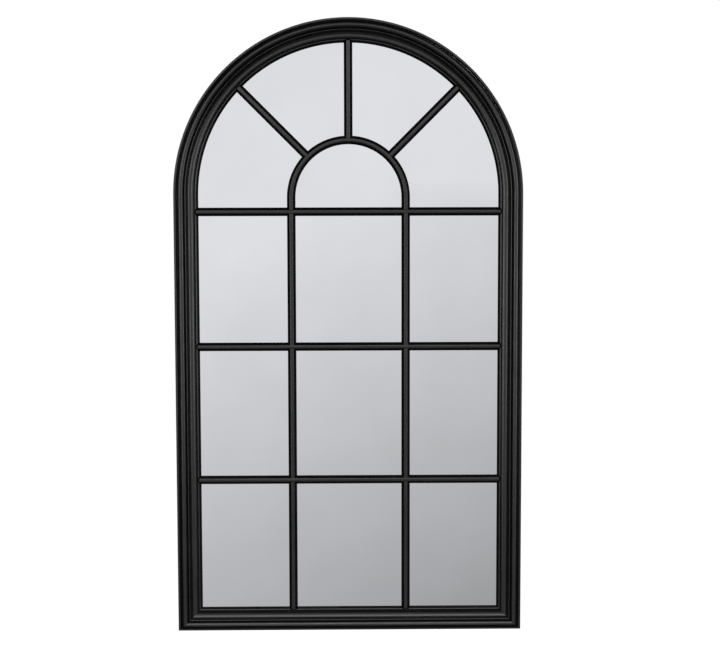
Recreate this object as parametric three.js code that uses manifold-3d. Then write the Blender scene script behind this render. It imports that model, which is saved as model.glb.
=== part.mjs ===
// An arched window mirror: one sheet of mirror behind a black moulded timber frame and applied glazing
// bars, closed by a backing board and hung from two strap hangers with swinging D-rings.
//
// Millimetres. X runs across, +Z up, and the front faces -Y. The origin is at the middle of the bottom
// edge, in the plane of the frame's flat back. A cross-section is drawn in two coordinates: the first
// runs across the piece, the second from the back plane (or from the glass) towards the front.

import * as THREE from "three";
import { mergeVertices } from "three/addons/utils/BufferGeometryUtils.js";
import Module from "manifold-3d";

const wasm = await Module();
wasm.setup();

// ---------------------------------------------------------------- driving dimensions

// The whole frame.
const WIDTH = 750;
const HEIGHT = 1327;
const FACE = 54; // width of the moulding, seen from the front
const DEPTH = 30; // from the flat back to the crown of the torus
const HAUNCH_ANGLE = 43.6; // degrees of arch in each of the two side segments
const STUB = 8; // straight foot of each side segment, below the spring line

// The moulding, from its outer edge inwards.
const OUTER_EDGE_DEPTH = 11;
const OUTER_ARRIS = 1.2;
const OUTER_FLAT = 4.4;
const COVE_RUN = 4.8;
const COVE_FULLNESS = 0.8; // how far along its run the cove turns upright
const TORUS_RADIUS = 7.5;
const TORUS_END_ANGLE = 30; // where the torus drops into its quirk, degrees above level
const QUIRK_WIDTH = 2;
const QUIRK_DEPTH = 3;
const FILLET_WIDTH = 3;
const FILLET_DROP = 4.6; // crown of the fillet below the front
const HOLLOW_LIP_DROP = 5.4; // outer lip of the hollow below the front
const HOLLOW_SWEEP = 99; // degrees of arc in the hollow
const INNER_LIP_RISE = 8.4; // inner lip of the hollow above the glass
const GROOVE_WIDTH = 1.6;
const GROOVE_RISE = 5; // floor of the groove above the glass
const BEAD_RADIUS = 2;
const BEAD_RISE = 6.5; // crown of the bead above the glass
const SIGHT_SLOPE = 3.7; // width of the slope from the bead down to the sight edge
const SIGHT_LAND = 1; // upright edge that stands on the glass

// The stepped rebate at the back, and what it holds.
const GLASS_REBATE = 8;
const BOARD_LEDGE = 10;
const BOARD_SETBACK = 4; // the board lies this deep inside the frame's back
const BOARD_THICKNESS = 5;
const GLASS_THICKNESS = 4;
const SHEET_CLEARANCE = 1; // between a sheet's edge and its rebate

// The glazing bars.
const BAR_WIDTH = 18.2;
const BAR_HEIGHT = 8;
const BAR_EDGE = 1.5; // upright side of the bar, below its round crown
const NOSE_RADIUS = 3; // round tip of the pointed bar end
const PANE_ROWS = 3;
const UPPER_TRANSOM_DROP = 36.5; // centre line of the upper transom below the spring line
const MULLION_OFFSET = 122.5; // centre line of each mullion from the middle
const FAN_STILT = 30; // the fan arch springs this high above the upper transom
const FAN_BAR_ANGLES = { right: 45, centre: 90, left: 135 };

// The hangers.
const HANGER_DROP = 52; // the ring's axis below the spring line
const STRAP_INSET = 18; // centre line of the strap from the frame's outer edge
const STRAP_WIDTH = 14;
const STRAP_THICKNESS = 1.2;
const STRAP_SCREW_GAP = 5.8; // from the hanging ring to the head of the upper screw
const STRAP_SCREW_PITCH = 12;
const WIRE_RADIUS = 1.25;
const RING_LEG = 8;
const RING_BEND = 1.9;
const RING_SIDE_CLEARANCE = 0.5; // between the strap's edge and the ring's leg

// Fasteners and bumpers.
const BOARD_SCREW = { headRadius: 3, headHeight: 1.8, shankRadius: 1.5, length: 11 };
const STRAP_SCREW = { headRadius: 3.2, headHeight: 2, shankRadius: 1.75, length: 12 };
const BOARD_SCREWS_ACROSS = 3;
const BOARD_SCREWS_UP = 3;
const BOARD_SCREWS_ROUND = 5;
const BUMPER_RADIUS = 7;
const BUMPER_TAPER = 1;
const BUMPER_HEIGHT = 60; // centre of the bumper above the bottom edge
const BUMPER_SPARE = 0.5; // how far the bumpers stand proud of the hangers

// Fits and facets.
const GLUE_GAP = 0.3; // between the faces of a glued joint
const CLEARANCE = 0.3; // round whatever passes into or through another piece
const ARC_STEP = 3.8; // degrees
const ROUND_SIDES = 12;

// ---------------------------------------------------------------- levels and lines they set

const SPRING = HEIGHT - WIDTH / 2;
const LEDGE_LEVEL = BOARD_SETBACK + BOARD_THICKNESS; // where board and silvering meet
const GLASS_LEVEL = LEDGE_LEVEL + GLASS_THICKNESS; // the front of the glass
const GLASS_EDGE = FACE - GLASS_REBATE;
const BOARD_EDGE = GLASS_EDGE - BOARD_LEDGE;
const BOARD_SCREW_INSET = (GLASS_EDGE + BOARD_EDGE) / 2;
const SIGHT_RADIUS = WIDTH / 2 - FACE; // half the clear width, and the inside of the arch
const UPPER_TRANSOM = SPRING - UPPER_TRANSOM_DROP;
const ROW_PITCH = (UPPER_TRANSOM + BAR_WIDTH / 2 - FACE) / PANE_ROWS;
const FAN_SPRING = UPPER_TRANSOM + FAN_STILT;
const HANGER_HEIGHT = SPRING - HANGER_DROP;
const STRAP_X = WIDTH / 2 - STRAP_INSET;
const EYE_RADIUS = WIRE_RADIUS + CLEARANCE;
const BARREL_RADIUS = EYE_RADIUS + STRAP_THICKNESS;
const RING_HALF_WIDTH = STRAP_WIDTH / 2 + RING_SIDE_CLEARANCE + WIRE_RADIUS;
const RING_DROP = RING_LEG + RING_HALF_WIDTH + WIRE_RADIUS;
const UPPER_SCREW_DROP = RING_DROP + STRAP_SCREW_GAP + STRAP_SCREW.headRadius;
const STRAP_SCREW_DROPS = [UPPER_SCREW_DROP, UPPER_SCREW_DROP + STRAP_SCREW_PITCH];
const STRAP_LENGTH = STRAP_SCREW_DROPS.at(-1) + STRAP_WIDTH / 2;
const SIDES = { left: -1, right: 1 };

// ---------------------------------------------------------------- finishes

const finish = (color, roughness, metalness = 0) =>
  new THREE.MeshStandardMaterial({ color, roughness, metalness, flatShading: true });
const BLACK_PAINT = finish(0x1b1b1b, 0.45);
const SILVERED_GLASS = finish(0xd9dce1, 0.04, 1);
const FIBREBOARD = finish(0x8f6f4c, 0.85);
const ZINC_STEEL = finish(0xb9bcc0, 0.35, 0.9);
const BLACK_RUBBER = finish(0x262626, 0.8);

// ---------------------------------------------------------------- shaping

const point = (x, y) => new THREE.Vector2(x, y);

// Points round a circle, angles in degrees.
function arc(x, y, radius, from, to, steps) {
  return Array.from({ length: steps + 1 }, (_, i) => {
    const angle = THREE.MathUtils.degToRad(from + ((to - from) * i) / steps);
    return point(x + radius * Math.cos(angle), y + radius * Math.sin(angle));
  });
}

// Points of a hollow that sags below the chord between two lips, both lips included.
function hollow(outerLip, innerLip, steps) {
  const halfSweep = THREE.MathUtils.degToRad(HOLLOW_SWEEP / 2);
  const chord = innerLip.clone().sub(outerLip);
  const radius = chord.length() / 2 / Math.sin(halfSweep);
  const upright = point(-chord.y, chord.x).normalize();
  const centre = outerLip
    .clone()
    .addScaledVector(chord, 0.5)
    .addScaledVector(upright, radius * Math.cos(halfSweep));
  const middle = THREE.MathUtils.radToDeg(upright.angle()) - 180;
  return arc(centre.x, centre.y, radius, middle - HOLLOW_SWEEP / 2, middle + HOLLOW_SWEEP / 2, steps);
}

// A section's place on a path: where its origin lies, and the way its first coordinate runs.
const station = (x, z, acrossX, acrossZ, y = 0) => ({
  at: new THREE.Vector3(x, y, z),
  across: new THREE.Vector3(acrossX, 0, acrossZ),
});

// Stations round an arc in the plane of the frame, an even number of steps so that one of them marks its
// middle. side is 1 for a section that runs outwards and -1 for one that runs towards the centre.
function arcStations(x, z, radius, from, to, side, step = ARC_STEP, y = 0) {
  const steps = 2 * Math.max(1, Math.round(Math.abs(to - from) / step / 2));
  return arc(0, 0, 1, from, to, steps).map((way) =>
    station(x + radius * way.x, z + radius * way.y, side * way.x, side * way.y, y),
  );
}

// A section carried through its stations, closed by an end face at each end or onto itself. The end
// faces come counter-clockwise, so the section is taken clockwise to meet them.
function loft(section, stations, closed = false) {
  const front = new THREE.Vector3(0, -1, 0);
  const outline = THREE.ShapeUtils.isClockWise(section) ? section : section.toReversed();
  const places = stations.flatMap(({ at, across }) =>
    outline.map((p) => at.clone().addScaledVector(across, p.x).addScaledVector(front, p.y)),
  );
  const count = outline.length;
  const spans = closed ? stations.length : stations.length - 1;
  const faces = [];
  for (let span = 0; span < spans; span++) {
    const here = span * count;
    const next = ((span + 1) % stations.length) * count;
    for (let i = 0; i < count; i++) {
      const j = (i + 1) % count;
      faces.push([here + i, next + i, next + j], [here + i, next + j, here + j]);
    }
  }
  if (!closed) {
    const last = spans * count;
    for (const [a, b, c] of THREE.ShapeUtils.triangulateShape(outline, [])) {
      faces.push([c, b, a], [last + a, last + b, last + c]);
    }
  }
  return facingOut(new THREE.BufferGeometry().setFromPoints(places), faces);
}

// The faces are turned outwards by the sign of the volume they enclose, because a path may run either
// way round.
function facingOut(geometry, faces) {
  const corner = (i) => new THREE.Vector3().fromBufferAttribute(geometry.attributes.position, i);
  const volume = faces.reduce((sum, [a, b, c]) => sum + corner(a).dot(corner(b).cross(corner(c))), 0);
  geometry.setIndex(volume > 0 ? faces.flat() : faces.flatMap(([a, b, c]) => [a, c, b]));
  return geometry;
}

// An outline in the plane of the frame, made solid between two levels counted from the back.
function prism(outline, low, high, curveSegments = 1) {
  const shape = outline instanceof THREE.Shape ? outline : new THREE.Shape(outline);
  const geometry = new THREE.ExtrudeGeometry(shape, {
    depth: high - low,
    bevelEnabled: false,
    curveSegments,
  });
  return geometry.rotateX(Math.PI / 2).translate(0, -low, 0);
}

// A closed geometry as a solid that can be cut.
function solid(geometry) {
  const bare = new THREE.BufferGeometry();
  bare.setAttribute("position", geometry.getAttribute("position"));
  bare.setIndex(geometry.index);
  const merged = mergeVertices(bare, 1e-4);
  return new wasm.Manifold(
    new wasm.Mesh({
      numProp: 3,
      vertProperties: merged.getAttribute("position").array,
      triVerts: new Uint32Array(merged.index.array),
    }),
  );
}

const cut = (body, cutters) => cutters.reduce((rest, cutter) => rest.subtract(cutter), body);

function geometryOf(body) {
  const { vertProperties, triVerts } = body.getMesh();
  const geometry = new THREE.BufferGeometry();
  geometry.setAttribute("position", new THREE.BufferAttribute(vertProperties, 3));
  geometry.setIndex(new THREE.BufferAttribute(triVerts, 1));
  return geometry;
}

function piece(name, shape, material) {
  const geometry = shape.isBufferGeometry ? shape : geometryOf(shape);
  const mesh = new THREE.Mesh(geometry, material);
  mesh.name = name;
  return mesh;
}

// A round hole along Y, from the level of its mouth to the level of its floor.
function hole(x, z, radius, mouth, floor) {
  const depth = floor - mouth;
  const tool = new THREE.CylinderGeometry(radius, radius, depth, ROUND_SIDES);
  return solid(tool.translate(x, -mouth - depth / 2, z));
}

// ---------------------------------------------------------------- sections

// The frame's moulding: outer arris and flat, cove, torus, fillet between two quirks, hollow, groove,
// bead and sight edge, then the two steps of the rebate.
function mouldingSection() {
  const coveEnd = point(OUTER_FLAT + COVE_RUN, DEPTH - TORUS_RADIUS);
  const cove = new THREE.QuadraticBezierCurve(
    point(OUTER_FLAT, OUTER_EDGE_DEPTH),
    point(OUTER_FLAT + COVE_RUN * COVE_FULLNESS, OUTER_EDGE_DEPTH + COVE_RUN),
    coveEnd,
  );
  const torusX = coveEnd.x + TORUS_RADIUS;
  const torus = arc(torusX, coveEnd.y, TORUS_RADIUS, 180, TORUS_END_ANGLE, 9);
  const quirkStart = torus.at(-1).x;
  const filletX = quirkStart + QUIRK_WIDTH + FILLET_WIDTH / 2;
  const filletY = DEPTH - FILLET_DROP - FILLET_WIDTH / 2;
  const quirkFloor = DEPTH - FILLET_DROP - QUIRK_DEPTH;
  const hollowStart = filletX + FILLET_WIDTH / 2 + QUIRK_WIDTH;
  const beadX = FACE - SIGHT_SLOPE - BEAD_RADIUS;
  const beadY = GLASS_LEVEL + BEAD_RISE - BEAD_RADIUS;
  const grooveEnd = beadX - BEAD_RADIUS;
  return [
    point(0, 0),
    ...arc(OUTER_ARRIS, OUTER_EDGE_DEPTH - OUTER_ARRIS, OUTER_ARRIS, 180, 90, 2),
    ...cove.getPoints(4).slice(0, -1),
    ...torus,
    point(quirkStart + QUIRK_WIDTH / 2, quirkFloor),
    ...arc(filletX, filletY, FILLET_WIDTH / 2, 180, 0, 4),
    point(hollowStart - QUIRK_WIDTH / 2, quirkFloor),
    ...hollow(
      point(hollowStart, DEPTH - HOLLOW_LIP_DROP),
      point(grooveEnd - GROOVE_WIDTH, GLASS_LEVEL + INNER_LIP_RISE),
      7,
    ),
    point(grooveEnd - GROOVE_WIDTH / 2, GLASS_LEVEL + GROOVE_RISE),
    ...arc(beadX, beadY, BEAD_RADIUS, 180, 0, 6),
    point(FACE, GLASS_LEVEL + SIGHT_LAND),
    point(FACE, GLASS_LEVEL),
    point(GLASS_EDGE, GLASS_LEVEL),
    point(GLASS_EDGE, LEDGE_LEVEL),
    point(BOARD_EDGE, LEDGE_LEVEL),
    point(BOARD_EDGE, 0),
  ];
}

// A glazing bar: flat on the glass, upright sides and a round crown, all grown by spare for a cutter.
function barSection(spare = 0) {
  const halfWidth = BAR_WIDTH / 2 + spare;
  const rise = BAR_HEIGHT - BAR_EDGE;
  const radius = (halfWidth ** 2 + rise ** 2) / (2 * rise);
  const halfSweep = THREE.MathUtils.radToDeg(Math.atan2(halfWidth, radius - rise));
  const crown = GLASS_LEVEL + BAR_HEIGHT + spare;
  return [
    point(-halfWidth, GLASS_LEVEL - spare),
    ...arc(0, crown - radius, radius, 90 + halfSweep, 90 - halfSweep, 12),
    point(halfWidth, GLASS_LEVEL - spare),
  ];
}

// ---------------------------------------------------------------- bar ends

// The pointed end of a bar in plan: two shoulders on the sight edge and a round tip over the bead. tail
// is the length kept behind the shoulders.
function noseOutline({ x, z, angle }, tail, spare = 0) {
  const halfWidth = BAR_WIDTH / 2;
  const tipCentre = halfWidth - NOSE_RADIUS * Math.SQRT2;
  const radius = NOSE_RADIUS + spare;
  const shoulder = tipCentre + radius * Math.SQRT2 - (halfWidth + spare);
  const outline = [
    point(-tail, -halfWidth - spare),
    point(shoulder, -halfWidth - spare),
    ...arc(tipCentre, 0, radius, -45, 45, 6),
    point(shoulder, halfWidth + spare),
    point(-tail, halfWidth + spare),
  ];
  const middle = point(0, 0);
  const turn = THREE.MathUtils.degToRad(angle);
  return outline.map((p) => p.rotateAround(middle, turn).add(point(x, z)));
}

const nosed = (bar, end, length) =>
  bar.intersect(solid(prism(noseOutline(end, length), GLASS_LEVEL - 1, DEPTH)));

// Where the line of a fan bar crosses the inside of the arch.
function archCrossing(angle) {
  const way = arc(0, 0, 1, angle, angle, 1)[0];
  const below = SPRING - FAN_SPRING;
  const along = below * way.y + Math.sqrt(SIGHT_RADIUS ** 2 - (below * way.x) ** 2);
  return { x: along * way.x, z: FAN_SPRING + along * way.y, angle };
}

const transomLevels = Array.from({ length: PANE_ROWS }, (_, i) => FACE + (i + 1) * ROW_PITCH - BAR_WIDTH / 2);
const transomEnds = transomLevels.map((z) => [
  { x: -SIGHT_RADIUS, z, angle: 180 },
  { x: SIGHT_RADIUS, z, angle: 0 },
]);
const mullionFoot = (side) => ({ x: side * MULLION_OFFSET, z: FACE, angle: -90 });
const barEnds = [
  ...transomEnds.flat(),
  ...Object.values(SIDES).map(mullionFoot),
  ...Object.values(FAN_BAR_ANGLES).map(archCrossing),
];

// ---------------------------------------------------------------- frame

// Where the screws of the backing board stand: on the ledge all round, evenly along each side.
function boardScrewPlaces() {
  const spread = (count, length) => Array.from({ length: count }, (_, i) => ((i + 0.5) * length) / count);
  const halfWidth = WIDTH / 2 - BOARD_SCREW_INSET;
  const across = spread(BOARD_SCREWS_ACROSS, WIDTH).map((x) => ({ x: x - WIDTH / 2, z: BOARD_SCREW_INSET }));
  const up = spread(BOARD_SCREWS_UP, SPRING).flatMap((z) => [
    { x: -halfWidth, z },
    { x: halfWidth, z },
  ]);
  const pitch = 180 / BOARD_SCREWS_ROUND;
  const round = arc(0, SPRING, halfWidth, pitch / 2, 180 - pitch / 2, BOARD_SCREWS_ROUND - 1);
  return [...across, ...up, ...round.map((p) => ({ x: p.x, z: p.y }))];
}

// Everything that is let into the frame: the notches that take the bars' noses, and the screw holes.
function frameCutters() {
  const notches = barEnds.map((end) =>
    solid(prism(noseOutline(end, FACE / 4, CLEARANCE), GLASS_LEVEL - CLEARANCE, DEPTH)),
  );
  const boardHoles = boardScrewPlaces().map(({ x, z }) => {
    const tip = BOARD_SETBACK + BOARD_SCREW.length;
    return hole(x, z, BOARD_SCREW.shankRadius + CLEARANCE, 0, tip + CLEARANCE);
  });
  const strapHoles = Object.values(SIDES).flatMap((side) =>
    STRAP_SCREW_DROPS.map((drop) => {
      const floor = STRAP_SCREW.length - STRAP_THICKNESS + CLEARANCE;
      const radius = STRAP_SCREW.shankRadius + CLEARANCE;
      return hole(side * STRAP_X, HANGER_HEIGHT - drop, radius, -1, floor);
    }),
  );
  return [...notches, ...boardHoles, ...strapHoles];
}

function frame() {
  const section = mouldingSection();
  const cutters = frameCutters();
  const half = WIDTH / 2;
  const gap = GLUE_GAP / 2;
  const gapAngle = THREE.MathUtils.radToDeg(gap / (half - FACE / 2));
  const mitreGap = gap * Math.SQRT2;
  const jointLevel = SPRING - STUB;
  const archRun = (from, to) => arcStations(0, SPRING, half, from, to, -1);
  const runs = {
    bottom_rail: [station(-half + mitreGap, 0, 1, 1), station(half - mitreGap, 0, -1, 1)],
    arch_crown: archRun(180 - HAUNCH_ANGLE - gapAngle, HAUNCH_ANGLE + gapAngle),
  };
  for (const [side, sign] of Object.entries(SIDES)) {
    const spring = sign < 0 ? 180 : 0;
    runs[`${side}_stile`] = [
      station(sign * half, mitreGap, -sign, 1),
      station(sign * half, jointLevel - gap, -sign, 0),
    ];
    runs[`${side}_haunch`] = [
      station(sign * half, jointLevel + gap, -sign, 0),
      ...archRun(spring, spring + sign * (HAUNCH_ANGLE - gapAngle)),
    ];
  }
  const group = new THREE.Group();
  for (const [name, stations] of Object.entries(runs)) {
    group.add(piece(name, cut(solid(loft(section, stations)), cutters), BLACK_PAINT));
  }
  return group;
}

// ---------------------------------------------------------------- glazing bars

const uprightRun = (x, low, high) => [station(x, low, 1, 0), station(x, high, 1, 0)];
const levelRun = (z) => [station(-WIDTH / 2, z, 0, 1), station(WIDTH / 2, z, 0, 1)];
const barCutter = (run) => solid(loft(barSection(CLEARANCE), run));

function fanArchRun() {
  return [
    station(-MULLION_OFFSET, UPPER_TRANSOM, -1, 0),
    ...arcStations(0, FAN_SPRING, MULLION_OFFSET, 180, 0, 1, 6),
    station(MULLION_OFFSET, UPPER_TRANSOM, 1, 0),
  ];
}

// The transoms run through from stile to stile. The mullions and the fan arch are scribed over them, and
// the fan bars over the fan arch.
function glazingBars() {
  const section = barSection();
  const rows = ["lower", "middle", "upper"];
  const group = new THREE.Group();
  const transomCutters = transomLevels.map((z) => barCutter(levelRun(z)));
  transomLevels.forEach((z, row) => {
    const [leftEnd, rightEnd] = transomEnds[row];
    const bar = nosed(nosed(solid(loft(section, levelRun(z))), leftEnd, WIDTH), rightEnd, WIDTH);
    group.add(piece(`transom_${rows[row]}`, bar, BLACK_PAINT));
  });
  for (const [side, sign] of Object.entries(SIDES)) {
    rows.forEach((rowName, row) => {
      const low = row === 0 ? 0 : transomLevels[row - 1];
      const bar = solid(loft(section, uprightRun(sign * MULLION_OFFSET, low, transomLevels[row])));
      const footed = row === 0 ? nosed(bar, mullionFoot(sign), HEIGHT) : bar;
      group.add(piece(`mullion_${side}_${rowName}`, cut(footed, transomCutters), BLACK_PAINT));
    });
  }
  group.add(piece("fan_arch", cut(solid(loft(section, fanArchRun())), [transomCutters.at(-1)]), BLACK_PAINT));
  const fanCutter = barCutter(fanArchRun());
  for (const [place, angle] of Object.entries(FAN_BAR_ANGLES)) {
    const end = archCrossing(angle);
    const way = arc(0, 0, 1, angle, angle, 1)[0];
    const reach = Math.hypot(end.x, end.z - FAN_SPRING);
    const run = [MULLION_OFFSET, reach + BAR_WIDTH].map((along) =>
      station(along * way.x, FAN_SPRING + along * way.y, way.y, -way.x),
    );
    const bar = nosed(solid(loft(section, run)), end, reach);
    group.add(piece(`fan_bar_${place}`, cut(bar, [fanCutter]), BLACK_PAINT));
  }
  return group;
}

// ---------------------------------------------------------------- mirror, board and screws

// The outline of a sheet that follows the frame, this far inside the frame's outer edge.
function sheetOutline(inset) {
  const half = WIDTH / 2 - inset;
  const shape = new THREE.Shape();
  shape.moveTo(-half, inset);
  shape.lineTo(half, inset);
  shape.absarc(0, SPRING, half, 0, Math.PI, false);
  return shape;
}

// A pan-head wood screw along Y. Its head rests on y = 0 and its point is at y = -length.
function screw({ headRadius, headHeight, shankRadius, length }) {
  const profile = [
    point(0, -length),
    point(shankRadius, -length + 2 * shankRadius),
    point(shankRadius, 0),
    point(headRadius, 0),
    point(headRadius, headHeight * 0.45),
    point(headRadius * 0.7, headHeight * 0.9),
    point(0, headHeight),
  ];
  return new THREE.LatheGeometry(profile, ROUND_SIDES);
}

function glazing() {
  const group = new THREE.Group();
  const segments = Math.round(180 / ARC_STEP);
  const glass = prism(sheetOutline(GLASS_EDGE + SHEET_CLEARANCE), LEDGE_LEVEL, GLASS_LEVEL, segments);
  const board = prism(sheetOutline(BOARD_EDGE + SHEET_CLEARANCE), BOARD_SETBACK, LEDGE_LEVEL, segments);
  const places = boardScrewPlaces();
  const boardHoles = places.map(({ x, z }) =>
    hole(x, z, BOARD_SCREW.shankRadius + CLEARANCE, BOARD_SETBACK - 1, LEDGE_LEVEL + 1),
  );
  group.add(piece("mirror_glass", glass, SILVERED_GLASS));
  group.add(piece("backing_board", cut(solid(board), boardHoles), FIBREBOARD));
  places.forEach(({ x, z }, i) => {
    const mesh = piece(`board_screw_${String(i + 1).padStart(2, "0")}`, screw(BOARD_SCREW), ZINC_STEEL);
    mesh.position.set(x, -BOARD_SETBACK, z);
    group.add(mesh);
  });
  return group;
}

// ---------------------------------------------------------------- hangers and bumpers

// A strap of sheet steel, flat on the frame's back and rolled at its top into an eye for the ring. It is
// drawn from the side, then given a round foot and its two screw holes.
function strap() {
  const touch = Math.acos((STRAP_THICKNESS - BARREL_RADIUS) / BARREL_RADIUS);
  const side = new THREE.Shape();
  side.moveTo(0, -STRAP_LENGTH);
  side.lineTo(0, 0);
  side.absarc(BARREL_RADIUS, 0, BARREL_RADIUS, Math.PI, -touch, true);
  side.lineTo(STRAP_THICKNESS, -STRAP_LENGTH);
  side.holes.push(new THREE.Path().absarc(BARREL_RADIUS, 0, EYE_RADIUS, 0, 2 * Math.PI, false));
  const strip = new THREE.ExtrudeGeometry(side, {
    depth: STRAP_WIDTH,
    bevelEnabled: false,
    curveSegments: ROUND_SIDES,
  });
  const [x, y, z] = [0, 1, 2].map((i) => new THREE.Vector3().setComponent(i, 1));
  strip.applyMatrix4(new THREE.Matrix4().makeBasis(y, z, x)).translate(-STRAP_WIDTH / 2, 0, 0);
  const half = STRAP_WIDTH / 2;
  const plan = new THREE.Shape();
  plan.moveTo(half, 2 * BARREL_RADIUS);
  plan.lineTo(-half, 2 * BARREL_RADIUS);
  plan.absarc(0, half - STRAP_LENGTH, half, Math.PI, 2 * Math.PI, false);
  const blank = solid(strip).intersect(solid(prism(plan, -3 * BARREL_RADIUS, 1, ROUND_SIDES)));
  const holes = STRAP_SCREW_DROPS.map((drop) =>
    hole(0, -drop, STRAP_SCREW.shankRadius + CLEARANCE, -STRAP_THICKNESS - 1, 1),
  );
  return cut(blank, holes);
}

// The D-ring: a straight bar in the strap's eye, two legs and a half-round bow, hanging down.
function ring() {
  const turn = (x, z, radius, from, to) => arcStations(x, z, radius, from, to, 1, 22.5, BARREL_RADIUS);
  const path = [
    ...turn(RING_HALF_WIDTH - RING_BEND, -RING_BEND, RING_BEND, 90, 0),
    ...turn(0, -RING_LEG, RING_HALF_WIDTH, 0, -180),
    ...turn(RING_BEND - RING_HALF_WIDTH, -RING_BEND, RING_BEND, 180, 90),
  ];
  return loft(arc(0, 0, WIRE_RADIUS, 0, 315, 7), path, true);
}

function bumper() {
  const height = 2 * BARREL_RADIUS + BUMPER_SPARE;
  const faceRadius = BUMPER_RADIUS - BUMPER_TAPER;
  const profile = [point(0, 0), point(BUMPER_RADIUS, 0), point(faceRadius, height), point(0, height)];
  return new THREE.LatheGeometry(profile, 2 * ROUND_SIDES);
}

function backFittings() {
  const group = new THREE.Group();
  for (const [side, sign] of Object.entries(SIDES)) {
    const hanger = new THREE.Group();
    hanger.position.set(sign * STRAP_X, 0, HANGER_HEIGHT);
    hanger.add(piece(`${side}_hanger_strap`, strap(), ZINC_STEEL));
    hanger.add(piece(`${side}_hanger_ring`, ring(), ZINC_STEEL));
    STRAP_SCREW_DROPS.forEach((drop, i) => {
      const mesh = piece(`${side}_hanger_screw_${i + 1}`, screw(STRAP_SCREW), ZINC_STEEL);
      mesh.position.set(0, STRAP_THICKNESS, -drop);
      hanger.add(mesh);
    });
    const pad = piece(`${side}_wall_bumper`, bumper(), BLACK_RUBBER);
    pad.position.set(sign * STRAP_X, 0, BUMPER_HEIGHT);
    group.add(hanger, pad);
  }
  return group;
}

// ---------------------------------------------------------------- the mirror

const mirror = new THREE.Group();
mirror.add(frame(), glazingBars(), glazing(), backFittings());

export default mirror;
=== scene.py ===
"""Looks of the arched window mirror, built round its CAD model.

Sizes are in millimetres, as in the drawing of the piece, until a mesh is made. X runs across, Z up and the front
faces -Y. A section is drawn in two coordinates: u across the piece and v towards the front.
"""

import logging
import math
from dataclasses import dataclass, field
from enum import Enum

import bmesh
import bpy
import numpy as np
from mathutils import Matrix, Vector


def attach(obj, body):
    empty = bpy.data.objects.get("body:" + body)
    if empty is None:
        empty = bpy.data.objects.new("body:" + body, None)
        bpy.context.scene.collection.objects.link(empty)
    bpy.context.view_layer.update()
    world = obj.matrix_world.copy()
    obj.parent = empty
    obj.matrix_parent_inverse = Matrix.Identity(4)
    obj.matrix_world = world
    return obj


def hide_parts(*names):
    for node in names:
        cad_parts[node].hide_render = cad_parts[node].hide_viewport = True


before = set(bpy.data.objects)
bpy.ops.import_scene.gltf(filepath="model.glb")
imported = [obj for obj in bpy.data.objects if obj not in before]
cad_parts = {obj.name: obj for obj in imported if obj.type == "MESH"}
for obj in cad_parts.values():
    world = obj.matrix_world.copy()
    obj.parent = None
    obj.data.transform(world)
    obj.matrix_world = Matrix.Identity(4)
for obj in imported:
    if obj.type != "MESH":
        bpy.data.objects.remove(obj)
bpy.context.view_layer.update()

log = logging.getLogger("arched_window_mirror")

MM = 0.001
RUN = "run"  # UV map of every new piece: metres along it and metres round it
ARRIS = "arris"  # 0 on flats and hollows, 1 on a sharp outer edge
JOINT = "joint"  # 1 round the end faces that are glued, 0 elsewhere


class Side(Enum):
    """The two sides of the mirror, seen from the front, with the sign of X there."""

    LEFT = -1
    RIGHT = 1

    @property
    def word(self) -> str:
        """The side's name as the CAD nodes write it."""
        return self.name.lower()


class End(Enum):
    """How the end of a glazing bar is worked."""

    NOSE = "pointed, let into the frame's bead"
    SCRIBED = "cut to lie over a straight bar"
    SCRIBED_ROUND = "cut to lie over the fan arch"


# ---------------------------------------------------------------- lines and surfaces


def linear(colour: str) -> tuple[float, float, float, float]:
    """Turns an sRGB colour into the linear one that a shader takes.

    Args:
        colour: the colour as #rrggbb.

    Returns:
        Linear red, green, blue and an alpha of 1.
    """
    channels = np.array([int(colour[i : i + 2], 16) for i in (1, 3, 5)]) / 255
    curve = np.where(channels <= 0.04045, channels / 12.92, ((channels + 0.055) / 1.055) ** 2.4)
    return (*curve.tolist(), 1.0)


def arc(x: float, y: float, radius: float, start: float, end: float, steps: int) -> np.ndarray:
    """Points at even angles round a circle, angles in degrees, both ends included."""
    angle = np.radians(np.linspace(start, end, steps + 1))
    return np.column_stack([x + radius * np.cos(angle), y + radius * np.sin(angle)])


def distances(line: np.ndarray) -> np.ndarray:
    """Distance of each point from the first, summed from corner to corner."""
    return np.concatenate([[0.0], np.cumsum(np.linalg.norm(np.diff(line, axis=0), axis=1))])


def read_off(line: np.ndarray, scale: np.ndarray, places: np.ndarray) -> np.ndarray:
    """Each coordinate of a line, read at places on a scale that grows along it."""
    return np.column_stack([np.interp(places, scale, column) for column in line.T])


@dataclass
class Section:
    """A cross-section ready to be carried along a piece.

    Attributes:
        points: its points, (count, 2).
        bend: how sharply the outline turns at each point, in radians per millimetre, outer corners positive.
    """

    points: np.ndarray
    bend: np.ndarray

    @property
    def arris(self) -> np.ndarray:
        """0 where the outline is flat or hollow, 1 where it turns on a radius of under 0.8 mm."""
        onset, span = 0.45, 0.8  # radians per mm
        return np.clip((self.bend - onset) / span, 0.0, 1.0)


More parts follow.
